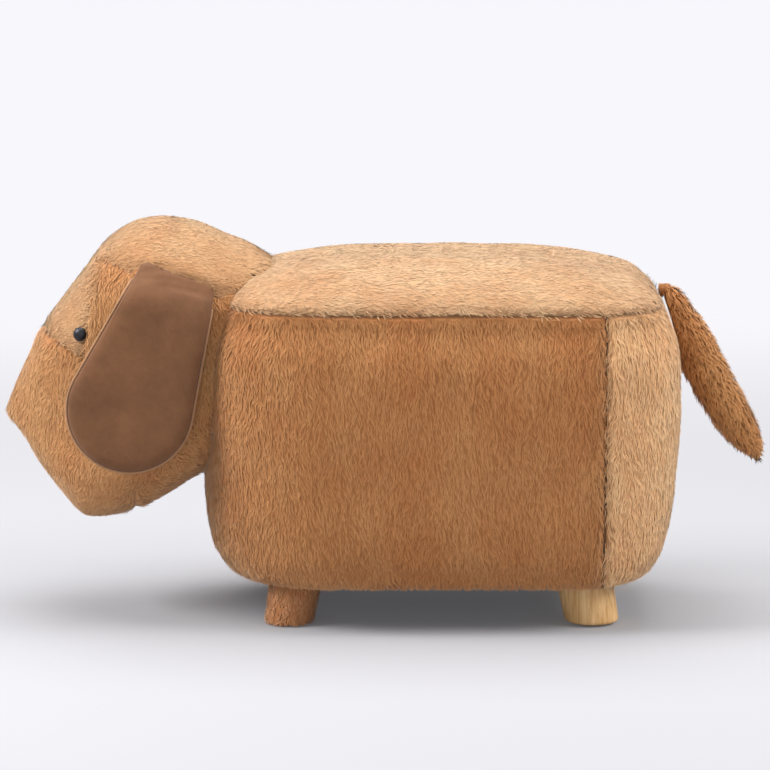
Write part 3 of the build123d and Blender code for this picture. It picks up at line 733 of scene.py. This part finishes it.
brow, eye_corner, cheek, neck = (.145, .634), (.306, .565), (.66, .46), (.72, .36)
throat, crown_front, crown_back = (.485, .1), (.365, .88), (.8, .775)
muzzle_seam = line_distance(
    points, (-.1, .634), brow, eye_corner, cheek, neck, throat, (.485, -1))
crown_seam = line_distance(points, eye_corner, crown_front, crown_back, (1.1, .775))
throat_seam = line_distance(points, neck, (1.2, .36))
side_on = np.abs(up[:, 1]) > 0.25
pull = groove(muzzle_seam, 0.0015, 0.0035) + groove(throat_seam, 0.0012, 0.004)
pull = pull + groove(crown_seam, 0.0022, 0.004) * side_on
points = points - up * pull[:, None] + up * (0.0008 * lumps(points, 0.05, 8))[:, None]
plain_skin = points.copy()

# The crown bulges over the upper edge of each ear, where the ear is caught in the seam.
ear_slope, ear_root_x, ear_root_z = np.radians(20.4), -0.1765, 0.3006
over_x, over_z = points[:, 0] - ear_root_x, points[:, 2] - ear_root_z
back = over_x * np.cos(ear_slope) - over_z * np.sin(ear_slope)
above = over_x * np.sin(ear_slope) + over_z * np.cos(ear_slope) - 0.0080
bulge = np.where(above > 0, closeness(above, 0.013), closeness(above, 0.0026))
bulge = bulge * np.exp(-((back / 0.040) ** 6)) * np.clip(np.abs(points[:, 1]) / 0.05 - 0.4, 0, 1)
points = points + np.sign(points[:, 1:2]) * np.array([[0, 1, 0]]) * (0.0050 * bulge)[:, None]
seam = np.minimum(np.minimum(muzzle_seam, crown_seam + (~side_on)), throat_seam)


def inside_outline(flat, *shares):
    """Whether each (x, z) lies inside the closed outline: an odd number of its sides lie above."""
    line = np.array(share_points(*shares))
    inside = np.zeros(len(flat), bool)
    for (x1, z1), (x2, z2) in zip(line, np.roll(line, -1, 0)):
        if x1 != x2:
            cross = (flat[:, 0] >= min(x1, x2)) & (flat[:, 0] < max(x1, x2))
            inside ^= cross & (flat[:, 1] < z1 + (flat[:, 0] - x1) * (z2 - z1) / (x2 - x1))
    return inside


def body_depth(points):
    """Signed distance in plan from the body's outline at each point's height, under zero inside,
    taken from its rounded corners and sides."""
    end, side = body_draw(points[:, 2])
    half = body_half - side
    rear = points[:, 0] > 0.05
    radius = np.where(rear, rear_corner, front_corner) * half
    beyond_x = np.where(
        rear, points[:, 0] - (body_rear - end - radius), (body_front + end + radius) - points[:, 0]
    )
    beyond_y = np.abs(points[:, 1]) - (half - radius)
    out = np.hypot(np.maximum(beyond_x, 0), np.maximum(beyond_y, 0)) - radius
    flat = np.maximum(out, points[:, 2] - (skin_top - seat_sag(points[:, 0])))
    return np.where(points[:, 2] < underside, underside - points[:, 2], flat)


middles = points[faces].mean(1)
outside = body_depth(middles) > -0.006
flat = middles[:, [0, 2]]
muzzle_zone = inside_outline(
    flat, (-.2, .634), brow, eye_corner, cheek, neck, throat, (.485, -1), (-.2, -1))
throat_zone = inside_outline(flat, neck, throat, (.485, -1), (2, -1), (2, .36))
cheek_zone = inside_outline(
    flat, crown_front, eye_corner, cheek, neck, (2, .36), (2, .775), crown_back)
cheek_nap = (0.25, 0, -1.0)
zones = {
    "muzzle": (muzzle_zone, (-0.35, 0, -0.95), "muzzle_cover"),
    "throat": (throat_zone & ~muzzle_zone, (0.6, 0, -0.5), "throat_cover"),
    "cheek_left": (cheek_zone & (middles[:, 1] < 0), cheek_nap, "cheek_cover_left"),
    "cheek_right": (cheek_zone & (middles[:, 1] >= 0), cheek_nap, "cheek_cover_right"),
    "crown": (~(muzzle_zone | throat_zone | cheek_zone), (1.0, 0, -0.1), "crown_cover"),
}
head_points, head_up = points, normals_of(points, faces)
ruffled = 1 + 1.4 * closeness(seam, 0.008) + 2.0 * closeness(body_depth(points), 0.010)
for number, (name, (zone, nap, cover)) in enumerate(zones.items()):
    used, own = np.unique(faces[zone & outside], return_inverse=True)
    if name == "crown":
        fur = {"material": crown_fur_painted_light, "relief": 0.6}
        each, length, lean = 1.7e-6, 0.0054, 0.13
    else:
        fur = {"material": head_fur, "relief": 0.9}
        each, length, lean = 2.0e-6, 0.0064, 0.18
    pelt(
        f"{name}_plush", (points[used], own.reshape(-1, 4), corners[zone & outside]),
        np.array(nap) + 0 * points[used], "stool", [cover], each, length, 0.0008, lean,
        41 + number, swirl=0.16, wild=ruffled[used], **fur,
        # dark: painted shade on the skin in the seams between the head's panels.
        density=1 - 0.8 * closeness(seam[used], 0.0012), dark=0.8 * closeness(seam[used], 0.0018),
    )

# Tail: a stuffed tube of the same plush with a longer pile, sewn by a short neck to the rump
# seam, so that it hangs close to the rump and swings.
tail_fur = plush_material(
    "tail_fur", (0.26, 0.10, 0.032), (0.43, 0.185, 0.062), (0.64, 0.32, 0.125))
tail_root = np.array([0.255821, 0, 0.281])
tail_run, tail_drop, tail_radius, tail_bow = 0.07133, 0.149, 0.0188, 0.008
tail_length = np.hypot(tail_run, tail_drop)
tail_way = np.array([tail_run, 0, -tail_drop]) / tail_length
bow_way = np.array([tail_way[2], 0, -tail_way[0]])
# Length share from the root, share of the bow and share of the radius.
tail_rows = np.array([
    (0, 0, .18), (.05, .3, .50), (.12, .7, .72), (.26, 1, .93), (.43, 1, 1), (.6, .85, .99),
    (.77, .5, .93), (.89, .2, .7), (.965, .05, .4), (1, 0, .15),
])
s = np.concatenate([
    [0], np.linspace(0, 0.12, 10), np.linspace(0.12, 0.88, 44)[1:],
    np.linspace(0.88, 1, 10)[1:], [1],
])
wide = tail_radius * ease(s, tail_rows[:, 0], tail_rows[:, 2]) - 0.002
wide[0] = wide[-1] = 0
tail_start, root_forward = -0.93 * 0.0063 + 0.001, 0.0080
centre = tail_root + tail_way * (tail_start + s * (tail_length - tail_start - 0.002))[:, None]
centre = centre - np.array([root_forward, 0, 0]) * np.clip(1 - s / 0.3, 0, 1)[:, None] ** 1.3
centre = centre + bow_way * (tail_bow * ease(s, tail_rows[:, 0], tail_rows[:, 1]))[:, None]


def turned(centre, radius, one, two, count):
    """Rings round the centres: each point is the centre plus the radius times the cosine of an
    angle along one direction and its sine along the other."""
    turn = np.linspace(0, 2 * np.pi, count)[None, :, None]
    round_way = np.cos(turn) * np.array(one) + np.sin(turn) * np.array(two)
    return centre + radius * round_way


def clear_of_rump(points, room=0.0012):
    """The points moved back, where they need it, to keep a gap behind the rump."""
    end, side = body_draw(points[:, 2])
    points = points.copy()
    points[:, 0] = np.maximum(points[:, 0], np.minimum(body_rear - end, 0.262) + room)
    return points


grid = turned(centre[:, None], wide[:, None, None], (0, 1, 0), bow_way, 41)
grid = clear_of_rump(grid.reshape(-1, 3)).reshape(grid.shape)
points, faces, corners = facing(grid, tail_root + tail_way * tail_length / 2)
up = normals_of(points, faces)
points = clear_of_rump(points + up * (0.0006 * lumps(points, 0.03, 9))[:, None])
pelt(
    "tail_plush", (points, faces, corners), tail_way + 0.25 * np.array([0, 0, -1.0]) + 0 * points,
    "tail", ["tail_cover"], 1.8e-6, 0.0092, 0.0013, 0.36, 61, swirl=0.35,
    keep_clear=clear_of_rump, material=tail_fur,
)
# The neck's profile, (radius, place along the tail's axis): a stub with a rounded rear end.
profile = np.array([
    (0.0, -0.007), (0.0054, -0.007), (0.0054, 0.0014), (0.005, 0.0026), (0.004, 0.0034),
    (0, 0.0034),
])[:, None]
neck_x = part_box("tail_neck")[0][0]
centre = np.array([neck_x, 0, 0.281]) + profile[..., 1:] * np.array([1, 0, 0])
sheet = facing(turned(centre, profile[..., :1], (0, 1, 0), (0, 0, 1), 33),
               (neck_x + 0.0015, 0, 0.281))
pelt(
    "tail_neck_plush", sheet, np.array([0.2, 0, -1.0]) + 0 * sheet[0],
    "tail_base", ["tail_neck"], 4e-6, 0.003, 0.0008, 0.2, 67, wall=0.0006, material=tail_fur,
    keep_clear=lambda p: np.clip(p, [neck_x - 0.007, -1, 0], [neck_x + 0.0035, 1, 1]),
)

# Ears: each is a flat cushion of two brown suede panels over thin wadding, with a pale cut edge
# where they are sewn together. Its root is caught in the seam beside the crown.
ear_lean = np.radians(5.0)
ear_x = np.array([np.cos(ear_slope), 0, -np.sin(ear_slope)])
ear_out = np.array([
    np.sin(ear_slope) * np.sin(ear_lean), -np.cos(ear_lean), np.cos(ear_slope) * np.sin(ear_lean)
])
ear_up = np.cross(ear_out, ear_x)
ear_origin = np.array([-0.1765, -0.0911007, 0.3006])
ear_root_half, ear_round, ear_length, ear_top = 0.035, 0.054, 0.170, 0.0055
bend_start, bend_run, under_skin = 0.034, 0.038, 0.0022


def ear_edge(count, inset=0.0):
    """Closed outline of the ear: its root line, slanted sides and round end, as points at even
    steps along it, moved inwards by an inset."""
    half, radius, top_y = ear_root_half - inset, ear_round - inset, ear_top - inset
    centre_y = ear_round - ear_length
    drop = top_y - centre_y
    turn = np.arctan2(drop, half) - np.arccos(radius / np.hypot(drop, half))
    angles = np.linspace(np.pi - turn, 2 * np.pi + turn, 60)
    arc = np.stack([radius * np.cos(angles), centre_y + radius * np.sin(angles)], 1)
    corner = 0.006 * np.array([[0.0, -1.0], [0.07, -0.6], [0.3, -0.25], [0.6, -0.07], [1.0, 0.0]])
    top_left = np.array([-half, top_y]) + corner
    top_right = np.array([half, top_y]) + corner * np.array([-1, 1])
    line = np.concatenate([top_right, top_left[::-1], arc, top_right[:1]])
    run = np.concatenate([[0], np.cumsum(np.linalg.norm(np.diff(line, axis=0), axis=1))])
    even = np.linspace(0, run[-1], count)
    return np.stack([np.interp(even, run, line[:, 0]), np.interp(even, run, line[:, 1])], 1)


suede_colour, given, result = group_of(
    "suede_colour", {"Base": (0.158, 0.071, 0.033), "Contrast": 0.3},
    {"Colour": "NodeSocketColor", "Height": "NodeSocketFloat"},
)
t = suede_colour
place = node(t, "TexCoord").outputs["Object"]
cloud = node(t, "TexNoise", {"Vector": place, "Scale": 34.0, "Detail": 8.0, "Roughness": 0.68})
grain = node(t, "TexNoise", {"Vector": place, "Scale": 900.0, "Detail": 2.0})
total = maths(t, "ADD", cloud, maths(t, "MULTIPLY", grain, 0.25))
scaled = maths(t, "MULTIPLY", maths(t, "SUBTRACT", total, 0.625), given["Contrast"])
level = maths(t, "ADD", scaled, 1.0)
shaded = node(t, "VectorMath", {0: given["Base"], "Scale": level}, operation="SCALE")
t.links.new(shaded.outputs[0], result.inputs["Colour"])
t.links.new(grain.outputs["Fac"], result.inputs["Height"])


def grouped(name, group, values, inputs, strength):
    """A material whose colour and bump come from a shader group with its own values."""
    made, tree, shader = new_material(name, inputs)
    pattern = node(tree, "Group", values, node_tree=group)
    bump = node(tree, "Bump", {
        "Height": pattern.outputs["Height"], "Strength": strength, "Distance": 0.0004,
    })
    tree.links.new(pattern.outputs["Colour"], shader.inputs["Base Color"])
    tree.links.new(bump.outputs[0], shader.inputs["Normal"])
    return made


def suede(name, colour, contrast):
    """Matt brushed leather: clouded colour and a very fine nap."""
    return grouped(name, suede_colour, {"Base": (*colour, 1), "Contrast": contrast}, {
        "Roughness": 0.9, "Specular IOR Level": 0.15, "Sheen Weight": 0.12}, 0.25)


ear_suede = suede("ear_suede", (0.158, 0.071, 0.033), 1.1)
ear_rim_suede = suede("ear_rim_suede", (0.33, 0.175, 0.09), 0.4)


def solid_object(name, points, faces, material, node_name, smooth=True):
    """A mesh object from vertices and four-cornered faces, shown in place of a CAD node."""
    mesh = bpy.data.meshes.new(name)
    mesh.from_pydata(points.tolist(), [], rows_of(faces))
    mesh.polygons.foreach_set("use_smooth", np.full(len(mesh.polygons), smooth))
    mesh.materials.append(material)
    thing = new_object(name, mesh)
    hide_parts(node_name)
    return thing


def onto_head(places, sign):
    """Ear points bent inwards near the root, so that the root lies on the crown: a point's
    distance from the head is mixed, by a smooth step along the ear, from its distance in the
    flat ear and its distance from the skin's nearest points in the side view."""
    mirror = np.array([1, sign, 1])
    left = places * mirror
    local = left - ear_origin
    share = np.clip((local @ ear_up + bend_start) / bend_run, 0, 1)
    share = share**2 * (3 - 2 * share)
    skin = plain_skin[(plain_skin[:, 1] < -0.02) & (plain_skin[:, 0] < -0.10)]
    bent = np.where(share > 0)[0]
    apart = ((left[bent][:, None, [0, 2]] - skin[None][:, :, [0, 2]]) ** 2).sum(2)
    closest = np.argpartition(apart, 4, 1)[:, :4]
    weight = 1 / (np.take_along_axis(apart, closest, 1) + 1e-6)
    depth = (skin[closest, 1] * weight).sum(1) / weight.sum(1)
    flat_out = local[bent] @ ear_out
    left[bent, 1] += share[bent] * (depth - under_skin - flat_out - left[bent, 1])
    return left * mirror


def ear_point(local, sign):
    """Ear coordinates (back along the root, up the ear, out of the head) to the frame."""
    mirror = np.array([1, sign, 1])
    axes = np.stack([ear_x, ear_up * mirror, ear_out * mirror])
    return ear_origin * mirror + local @ axes


def hang(thing):
    """Bakes the piece's placement into its mesh. Its points over the root are blended into the head
    by onto_head, not here.
    """
    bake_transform(thing)


ear_middle = np.array([0.0, -0.100])
for sign, word in ((1, "left"), (-1, "right")):
    edge = ear_edge(121, 0.0012)
    r = np.concatenate([[0.0], np.linspace(0.08, 0.86, 14), np.linspace(0.88, 1, 8)])[:, None, None]
    flat = ear_middle + (edge - ear_middle)[None] * r
    apart = np.linalg.norm(flat[:, :, None] - edge[None, None], axis=3).min(2)[..., None]
    swell = np.sqrt(1 - (1 - np.clip(apart / 0.011, 0, 1)) ** 2)
    swell = swell * (0.30 + 0.70 * np.clip((ear_top - flat[..., 1:]) / 0.024, 0, 1) ** 0.8)
    for name, way, thick in (("outer", 1, 0.0055), ("lining", -1, 0.0052)):
        face = np.concatenate([flat, way * (0.0004 + thick * swell)], -1)
        rear = np.concatenate([flat, way * 0.0003 + way * (thick - 0.0011) * swell], -1)
        grid = ear_point(np.concatenate([face, rear[::-1]]), sign)
        points, faces, _ = facing(grid, ear_point(np.array([0, -0.1, way * 0.003]), sign))
        thing = solid_object(f"ear_{word}_{name}_suede", onto_head(points, sign), faces,
                             ear_suede, f"ear_{word}_{name}")
        hang(thing)
    edge = ear_edge(221, 0.0004)[:-1]
    edge = edge[edge[:, 1] < -0.011]
    turn = np.linspace(0, 2 * np.pi, 9)[None, :, None]
    ahead = np.gradient(edge, axis=0)
    across = np.stack([ahead[:, 1], -ahead[:, 0]], 1) / np.linalg.norm(ahead, axis=1, keepdims=True)
    nothing = np.zeros((len(edge), 1))
    across, path = np.concatenate([across, nothing], 1), np.concatenate([edge, nothing], 1)
    full = np.concatenate([[0], np.full(len(path) - 2, 1.0), [0]])[:, None, None]
    tube = path[:, None] + full * (
        0.0011 * np.cos(turn) * across[:, None] + 0.0014 * np.sin(turn) * np.array([0, 0, 1])
    )
    points, faces, _ = sheet_of(ear_point(tube, sign))
    middle, path = points[faces].mean(1), ear_point(path, sign)
    near_path = path[np.argmin(((middle[:, None] - path[None]) ** 2).sum(2), 1)]
    if np.sum(crosses(points, faces) * (middle - near_path)) < 0:
        faces = faces[:, ::-1]
    thing = solid_object(f"ear_{word}_rim_suede", onto_head(points, sign), faces,
                         ear_rim_suede, f"ear_{word}_rim")
    hang(thing)

# Eyes: domed black plastic, each with a shank that is pushed through the head at the seam and
# held from behind by a lock washer.
eye_black, tree, shader = new_material("eye_black", {"Specular IOR Level": 0.3})
place = node(tree, "TexCoord").outputs["Object"]
scuff = node(tree, "TexNoise", {"Vector": place, "Scale": 300.0, "Detail": 3.0})
shade = node(tree, "MapRange", {"Value": scuff, "To Min": 0.30, "To Max": 0.42})
tint = blended(tree, scuff, (0.006, 0.006, 0.008, 1), (0.012, 0.013, 0.018, 1))
tree.links.new(tint, shader.inputs["Base Color"])
tree.links.new(shade.outputs[0], shader.inputs["Roughness"])
eye_x, eye_z, eye_radius, eye_dome, shank_end = -0.261, 0.252, 0.0060, 0.0036, -0.0166
eye_stand = 0.0014
angle = np.linspace(0, np.pi / 2, 12)
dome = np.stack([eye_radius * np.cos(angle), eye_dome * np.sin(angle)], 1)[::-1]
back_of_eye = np.array([
    (eye_radius * 0.97, -0.0006), (eye_radius * 0.86, -0.0010), (0.002, -0.0010),
    (0.002, -0.016), (0.0014, shank_end), (0, shank_end),
])
profile = np.concatenate([dome, back_of_eye])[:, None]
profile[0, 0, 0] = 0
for sign, word in ((-1, "left"), (1, "right")):
    other_side = sign * head_points[:, 1] < 0
    nearest = np.argmin(
        np.hypot(head_points[:, 0] - eye_x, head_points[:, 2] - eye_z) + 9 * other_side)
    out_way = head_up[nearest]
    seat = np.array([eye_x, head_points[nearest, 1] + sign * eye_stand, eye_z])
    one = np.cross(out_way, (0, 0, 1.0))
    one /= np.linalg.norm(one)
    grid = turned(seat + profile[..., 1:] * out_way, profile[..., :1], one,
                  np.cross(out_way, one), 49)
    points, faces, _ = facing(grid, seat)
    thing = solid_object(
        f"eye_{word}_dome", points, faces, eye_black, f"eye_{word}")
    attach(thing, "stool")

# Legs and socks: four short turned legs of pale wood that lean outwards and screw up into the
# box. The front pair wears plush socks; the rear pair is bare, sanded and lacquered matt.
wood_colour, given, result = group_of(
    "wood_colour",
    {"Light": (0.62, 0.40, 0.20), "Dark": (0.40, 0.22, 0.09), "Across": 130.0, "Along": 7.0},
    {"Colour": "NodeSocketColor", "Height": "NodeSocketFloat"},
)
t = wood_colour
place = node(t, "TexCoord").outputs["Object"]
draws = node(t, "CombineXYZ", {0: given["Across"], 1: given["Across"], 2: given["Along"]})
drawn = node(t, "VectorMath", {0: place, 1: draws}, operation="MULTIPLY")
grain = node(t, "TexNoise", {
    "Vector": drawn, "Scale": 1.0, "Detail": 5.0, "Roughness": 0.6, "Distortion": 0.6,
})
fine = node(t, "TexNoise", {"Vector": drawn, "Scale": 5.0, "Detail": 3.0, "Roughness": 0.5})
stripe = node(t, "MapRange", {"Value": grain, "From Min": 0.35, "From Max": 0.68})
total = maths(t, "ADD", stripe, maths(t, "MULTIPLY", fine, 0.3), use_clamp=True)
colour = blended(t, total, given["Light"], given["Dark"])
t.links.new(colour, result.inputs["Colour"])
t.links.new(total.outputs[0], result.inputs["Height"])


def wood(name, light, dark, across, along, roughness):
    """Wood with its grain drawn along Z, or flat board when both draws are alike."""
    values = {"Light": (*light, 1), "Dark": (*dark, 1), "Across": across, "Along": along}
    return grouped(name, wood_colour, values,
                   {"Roughness": roughness, "Specular IOR Level": 0.3}, 0.2)


leg_wood = wood("leg_wood", (0.80, 0.53, 0.26), (0.52, 0.28, 0.10), 260.0, 12.0, 0.55)
sock_plush = plush_material("sock_plush", middle=(0.46, 0.205, 0.092), tip=(0.60, 0.31, 0.15))
leg_top, glide, foot_radius, foot_edge = 0.0373, 0.002, 0.0226, 0.003
angle = np.linspace(0, np.pi / 2, 7)
for end, top_x, foot_x in (("front", -0.077, -0.083), ("rear", 0.1725, 0.1790)):
    socked = end == "front"
    for word, side in (("left", -1), ("right", 1)):
        high = np.array([top_x, side * 0.064, leg_top])
        low = np.array([foot_x, side * 0.069, glide])
        inset = 0.0016 if socked else -0.0008
        tall = leg_top - glide
        foot = np.stack([
            foot_radius - inset - foot_edge + foot_edge * np.sin(angle),
            foot_edge - foot_edge * np.cos(angle),
        ], 1)
        up_leg = np.linspace(foot_edge, tall - 0.0006, 12)[1:]
        shaft = np.stack([foot_radius - inset + 0.0015 * up_leg / tall, up_leg], 1)
        profile = np.concatenate(
            [[(0, 0), (0.012, 0)], foot, shaft, [(0.0235 - inset, tall), (0, tall)]])[:, None]
        centre = low + profile[..., 1:] / tall * (high - low)
        grid = turned(centre, profile[..., :1], (1, 0, 0), (0, 1, 0), 73)
        points, faces, corners = facing(grid, (high + low) / 2)
        if socked:
            level = points[faces].mean(1)[:, 2]
            keep = (level > glide + 0.0002) & (level < leg_top - 0.0001)
            used, own = np.unique(faces[keep], return_inverse=True)
            pelt(
                f"sock_{end}_{word}_plush", (points[used], own.reshape(-1, 4), corners[keep]),
                np.array([0.0, 0, -1.0]) + 0 * points[used], "stool", [f"leg_sock_{end}_{word}"],
                2.6e-6, 0.0065, 0.0011, 0.22, 71 + side, material=sock_plush,
                keep_clear=lambda p: np.maximum(p, [-9, -9, 0.0008]),
            )
        else:
            thing = solid_object(f"leg_{end}_{word}_wood", points, faces, leg_wood,
                                 f"leg_{end}_{word}")
            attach(thing, "stool")

# Wooden box and fixings: boards, rails, bulkheads and glue blocks of pale board, steel screws,
# bolts and tee nuts, and plastic glides and lock washers. Their CAD shapes are right and only
# get their finish.
board_wood = wood("board_wood", (0.60, 0.43, 0.26), (0.47, 0.31, 0.17), 40.0, 60.0, 0.7)


def clouded(name, colour, other, scale, roughness, metallic=0.0):
    """Plain finish with a fine clouding of colour and gloss."""
    made, tree, shader = new_material(name, {"Metallic": metallic})
    place = node(tree, "TexCoord").outputs["Object"]
    cloud = node(tree, "TexNoise", {"Vector": place, "Scale": scale, "Detail": 4.0})
    tint = blended(tree, cloud, (*colour, 1), (*other, 1))
    gloss = node(tree, "MapRange", {
        "Value": cloud, "To Min": roughness - 0.08, "To Max": roughness + 0.08,
    })
    bump = node(tree, "Bump", {"Height": cloud, "Strength": 0.1, "Distance": 0.0002})
    tree.links.new(tint, shader.inputs["Base Color"])
    tree.links.new(gloss.outputs[0], shader.inputs["Roughness"])
    tree.links.new(bump.outputs[0], shader.inputs["Normal"])
    return made


steel = clouded("steel", (0.55, 0.54, 0.52), (0.68, 0.67, 0.64), 400.0, 0.35, 1.0)
glide_plastic = clouded("glide_plastic", (0.05, 0.05, 0.05), (0.08, 0.08, 0.08), 500.0, 0.5)
washer_plastic = clouded("washer_plastic", (0.70, 0.70, 0.68), (0.8, 0.8, 0.78), 500.0, 0.45)
finishes = {
    "board": board_wood, "glue": board_wood, "rail": board_wood, "bulkhead": board_wood,
    "screws": steel, "bolts": steel, "nuts": steel, "glide": glide_plastic,
    "washer": washer_plastic, "leg_front": leg_wood,
}
for label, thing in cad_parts.items():
    for word, finish in finishes.items():
        if word in label:
            thing.data.materials.clear()
            thing.data.materials.append(finish)

# Foam and filling: blocks of foam glued round the box, and loose wadding in the head, tail and
# ears. They take their shape from the room they fill, with soft edges, and stay out of sight.
foam = clouded("foam", (0.80, 0.72, 0.50), (0.88, 0.82, 0.62), 900.0, 0.9)
wadding = clouded("wadding", (0.82, 0.82, 0.80), (0.92, 0.92, 0.90), 350.0, 0.9)
# Finish, body, grain of the even mesh, slot, and how far the surface is drawn in.
foam_block = (foam, "stool", 0.006, "foam", 0.0055)
fillings = {
    "seat_foam": foam_block, "front_foam": foam_block, "rump_foam": foam_block,
    "side_foam_left": foam_block, "side_foam_right": foam_block,
    "head_filling": (wadding, "stool", 0.006, "filling", 0.003),
    "tail_filling": (wadding, "tail", 0.004, "filling", 0.003),
    "ear_left_batting": (wadding, "ear_left", 0.003, "filling", 0.0006),
    "ear_right_batting": (wadding, "ear_right", 0.003, "filling", 0.0006),
}
for label, (finish, body, grain_size, slot, shrink) in fillings.items():
    rough = new_object(f"{label}_rough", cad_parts[label].data.copy())
    remesh = rough.modifiers.new("even", "REMESH")
    remesh.mode, remesh.voxel_size = "VOXEL", grain_size
    soften = rough.modifiers.new("soften", "SMOOTH")
    soften.factor, soften.iterations = 0.5, 4
    bpy.context.view_layer.update()
    made = bpy.data.meshes.new_from_object(
        rough.evaluated_get(bpy.context.evaluated_depsgraph_get()))
    bpy.data.objects.remove(rough)
    made.name = f"{label}_soft"
    thing = new_object(f"{label}_soft", made)
    made.materials.clear()
    made.materials.append(finish)
    place, way = np.zeros((2, 3 * len(made.vertices)))
    made.vertices.foreach_get("co", place)
    made.vertices.foreach_get("normal", way)
    place = (place - way * shrink).reshape(-1, 3)
    if "batting" in label:
        word, sign = ("left", 1) if "left" in label else ("right", -1)
        mirror = np.array([1, sign, 1])
        local = (place * mirror - ear_origin) @ np.stack([ear_x, ear_up, ear_out], 1)
        local[:, 2] *= 0.2 + 0.7 * np.clip((ear_top - local[:, 1]) / 0.03, 0, 1)
        local[:, 1] = np.minimum(local[:, 1], local[:, 1] * 0.9 - 0.004)
        place = onto_head(ear_point(local, sign), sign)
        hang(thing)
    else:
        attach(thing, body)
    if label == "seat_foam":
        place[:, 2] = np.minimum(place[:, 2], seat_height - 0.0065 - seat_sag(place[:, 0]))
    made.vertices.foreach_set("co", place.ravel().astype(np.float32))
    made.polygons.foreach_set("use_smooth", np.ones(len(made.polygons), bool))
    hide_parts(label)

# Dust cover: a sheet of black non-woven stapled over the open underside. It is made as two layers
# of points that meet round the edge.
nonwoven = clouded("nonwoven", (0.018, 0.018, 0.018), (0.040, 0.040, 0.040), 1200.0, 0.85)
sheet_inset, sheet_low, sheet_high = 0.038, 0.0375, 0.0379
inset = np.full((1, 1), sheet_inset)
x, y = half_outline(inset, inset, (8, 20, 24, 16, 8))
half_ring = np.stack([x[0], y[0]], -1)
ring = np.concatenate([half_ring, half_ring[::-1] * np.array([1, -1])])
middle = np.array([(body_front + body_rear) / 2, 0])
flat = middle + (ring - middle)[None] * np.linspace(0, 1, 12)[:, None, None]
level = np.ones(flat.shape[:2] + (1,))
under = np.concatenate([flat, sheet_low * level], -1)
over = np.concatenate([flat, sheet_high * level], -1)
inside_sheet = (middle[0], 0, (sheet_low + sheet_high) / 2)
points, faces, _ = facing(np.concatenate([under, over[::-1]]), inside_sheet)
thing = solid_object("dust_cover_sheet", points, faces, nonwoven, "dust_cover", False)
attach(thing, "stool")
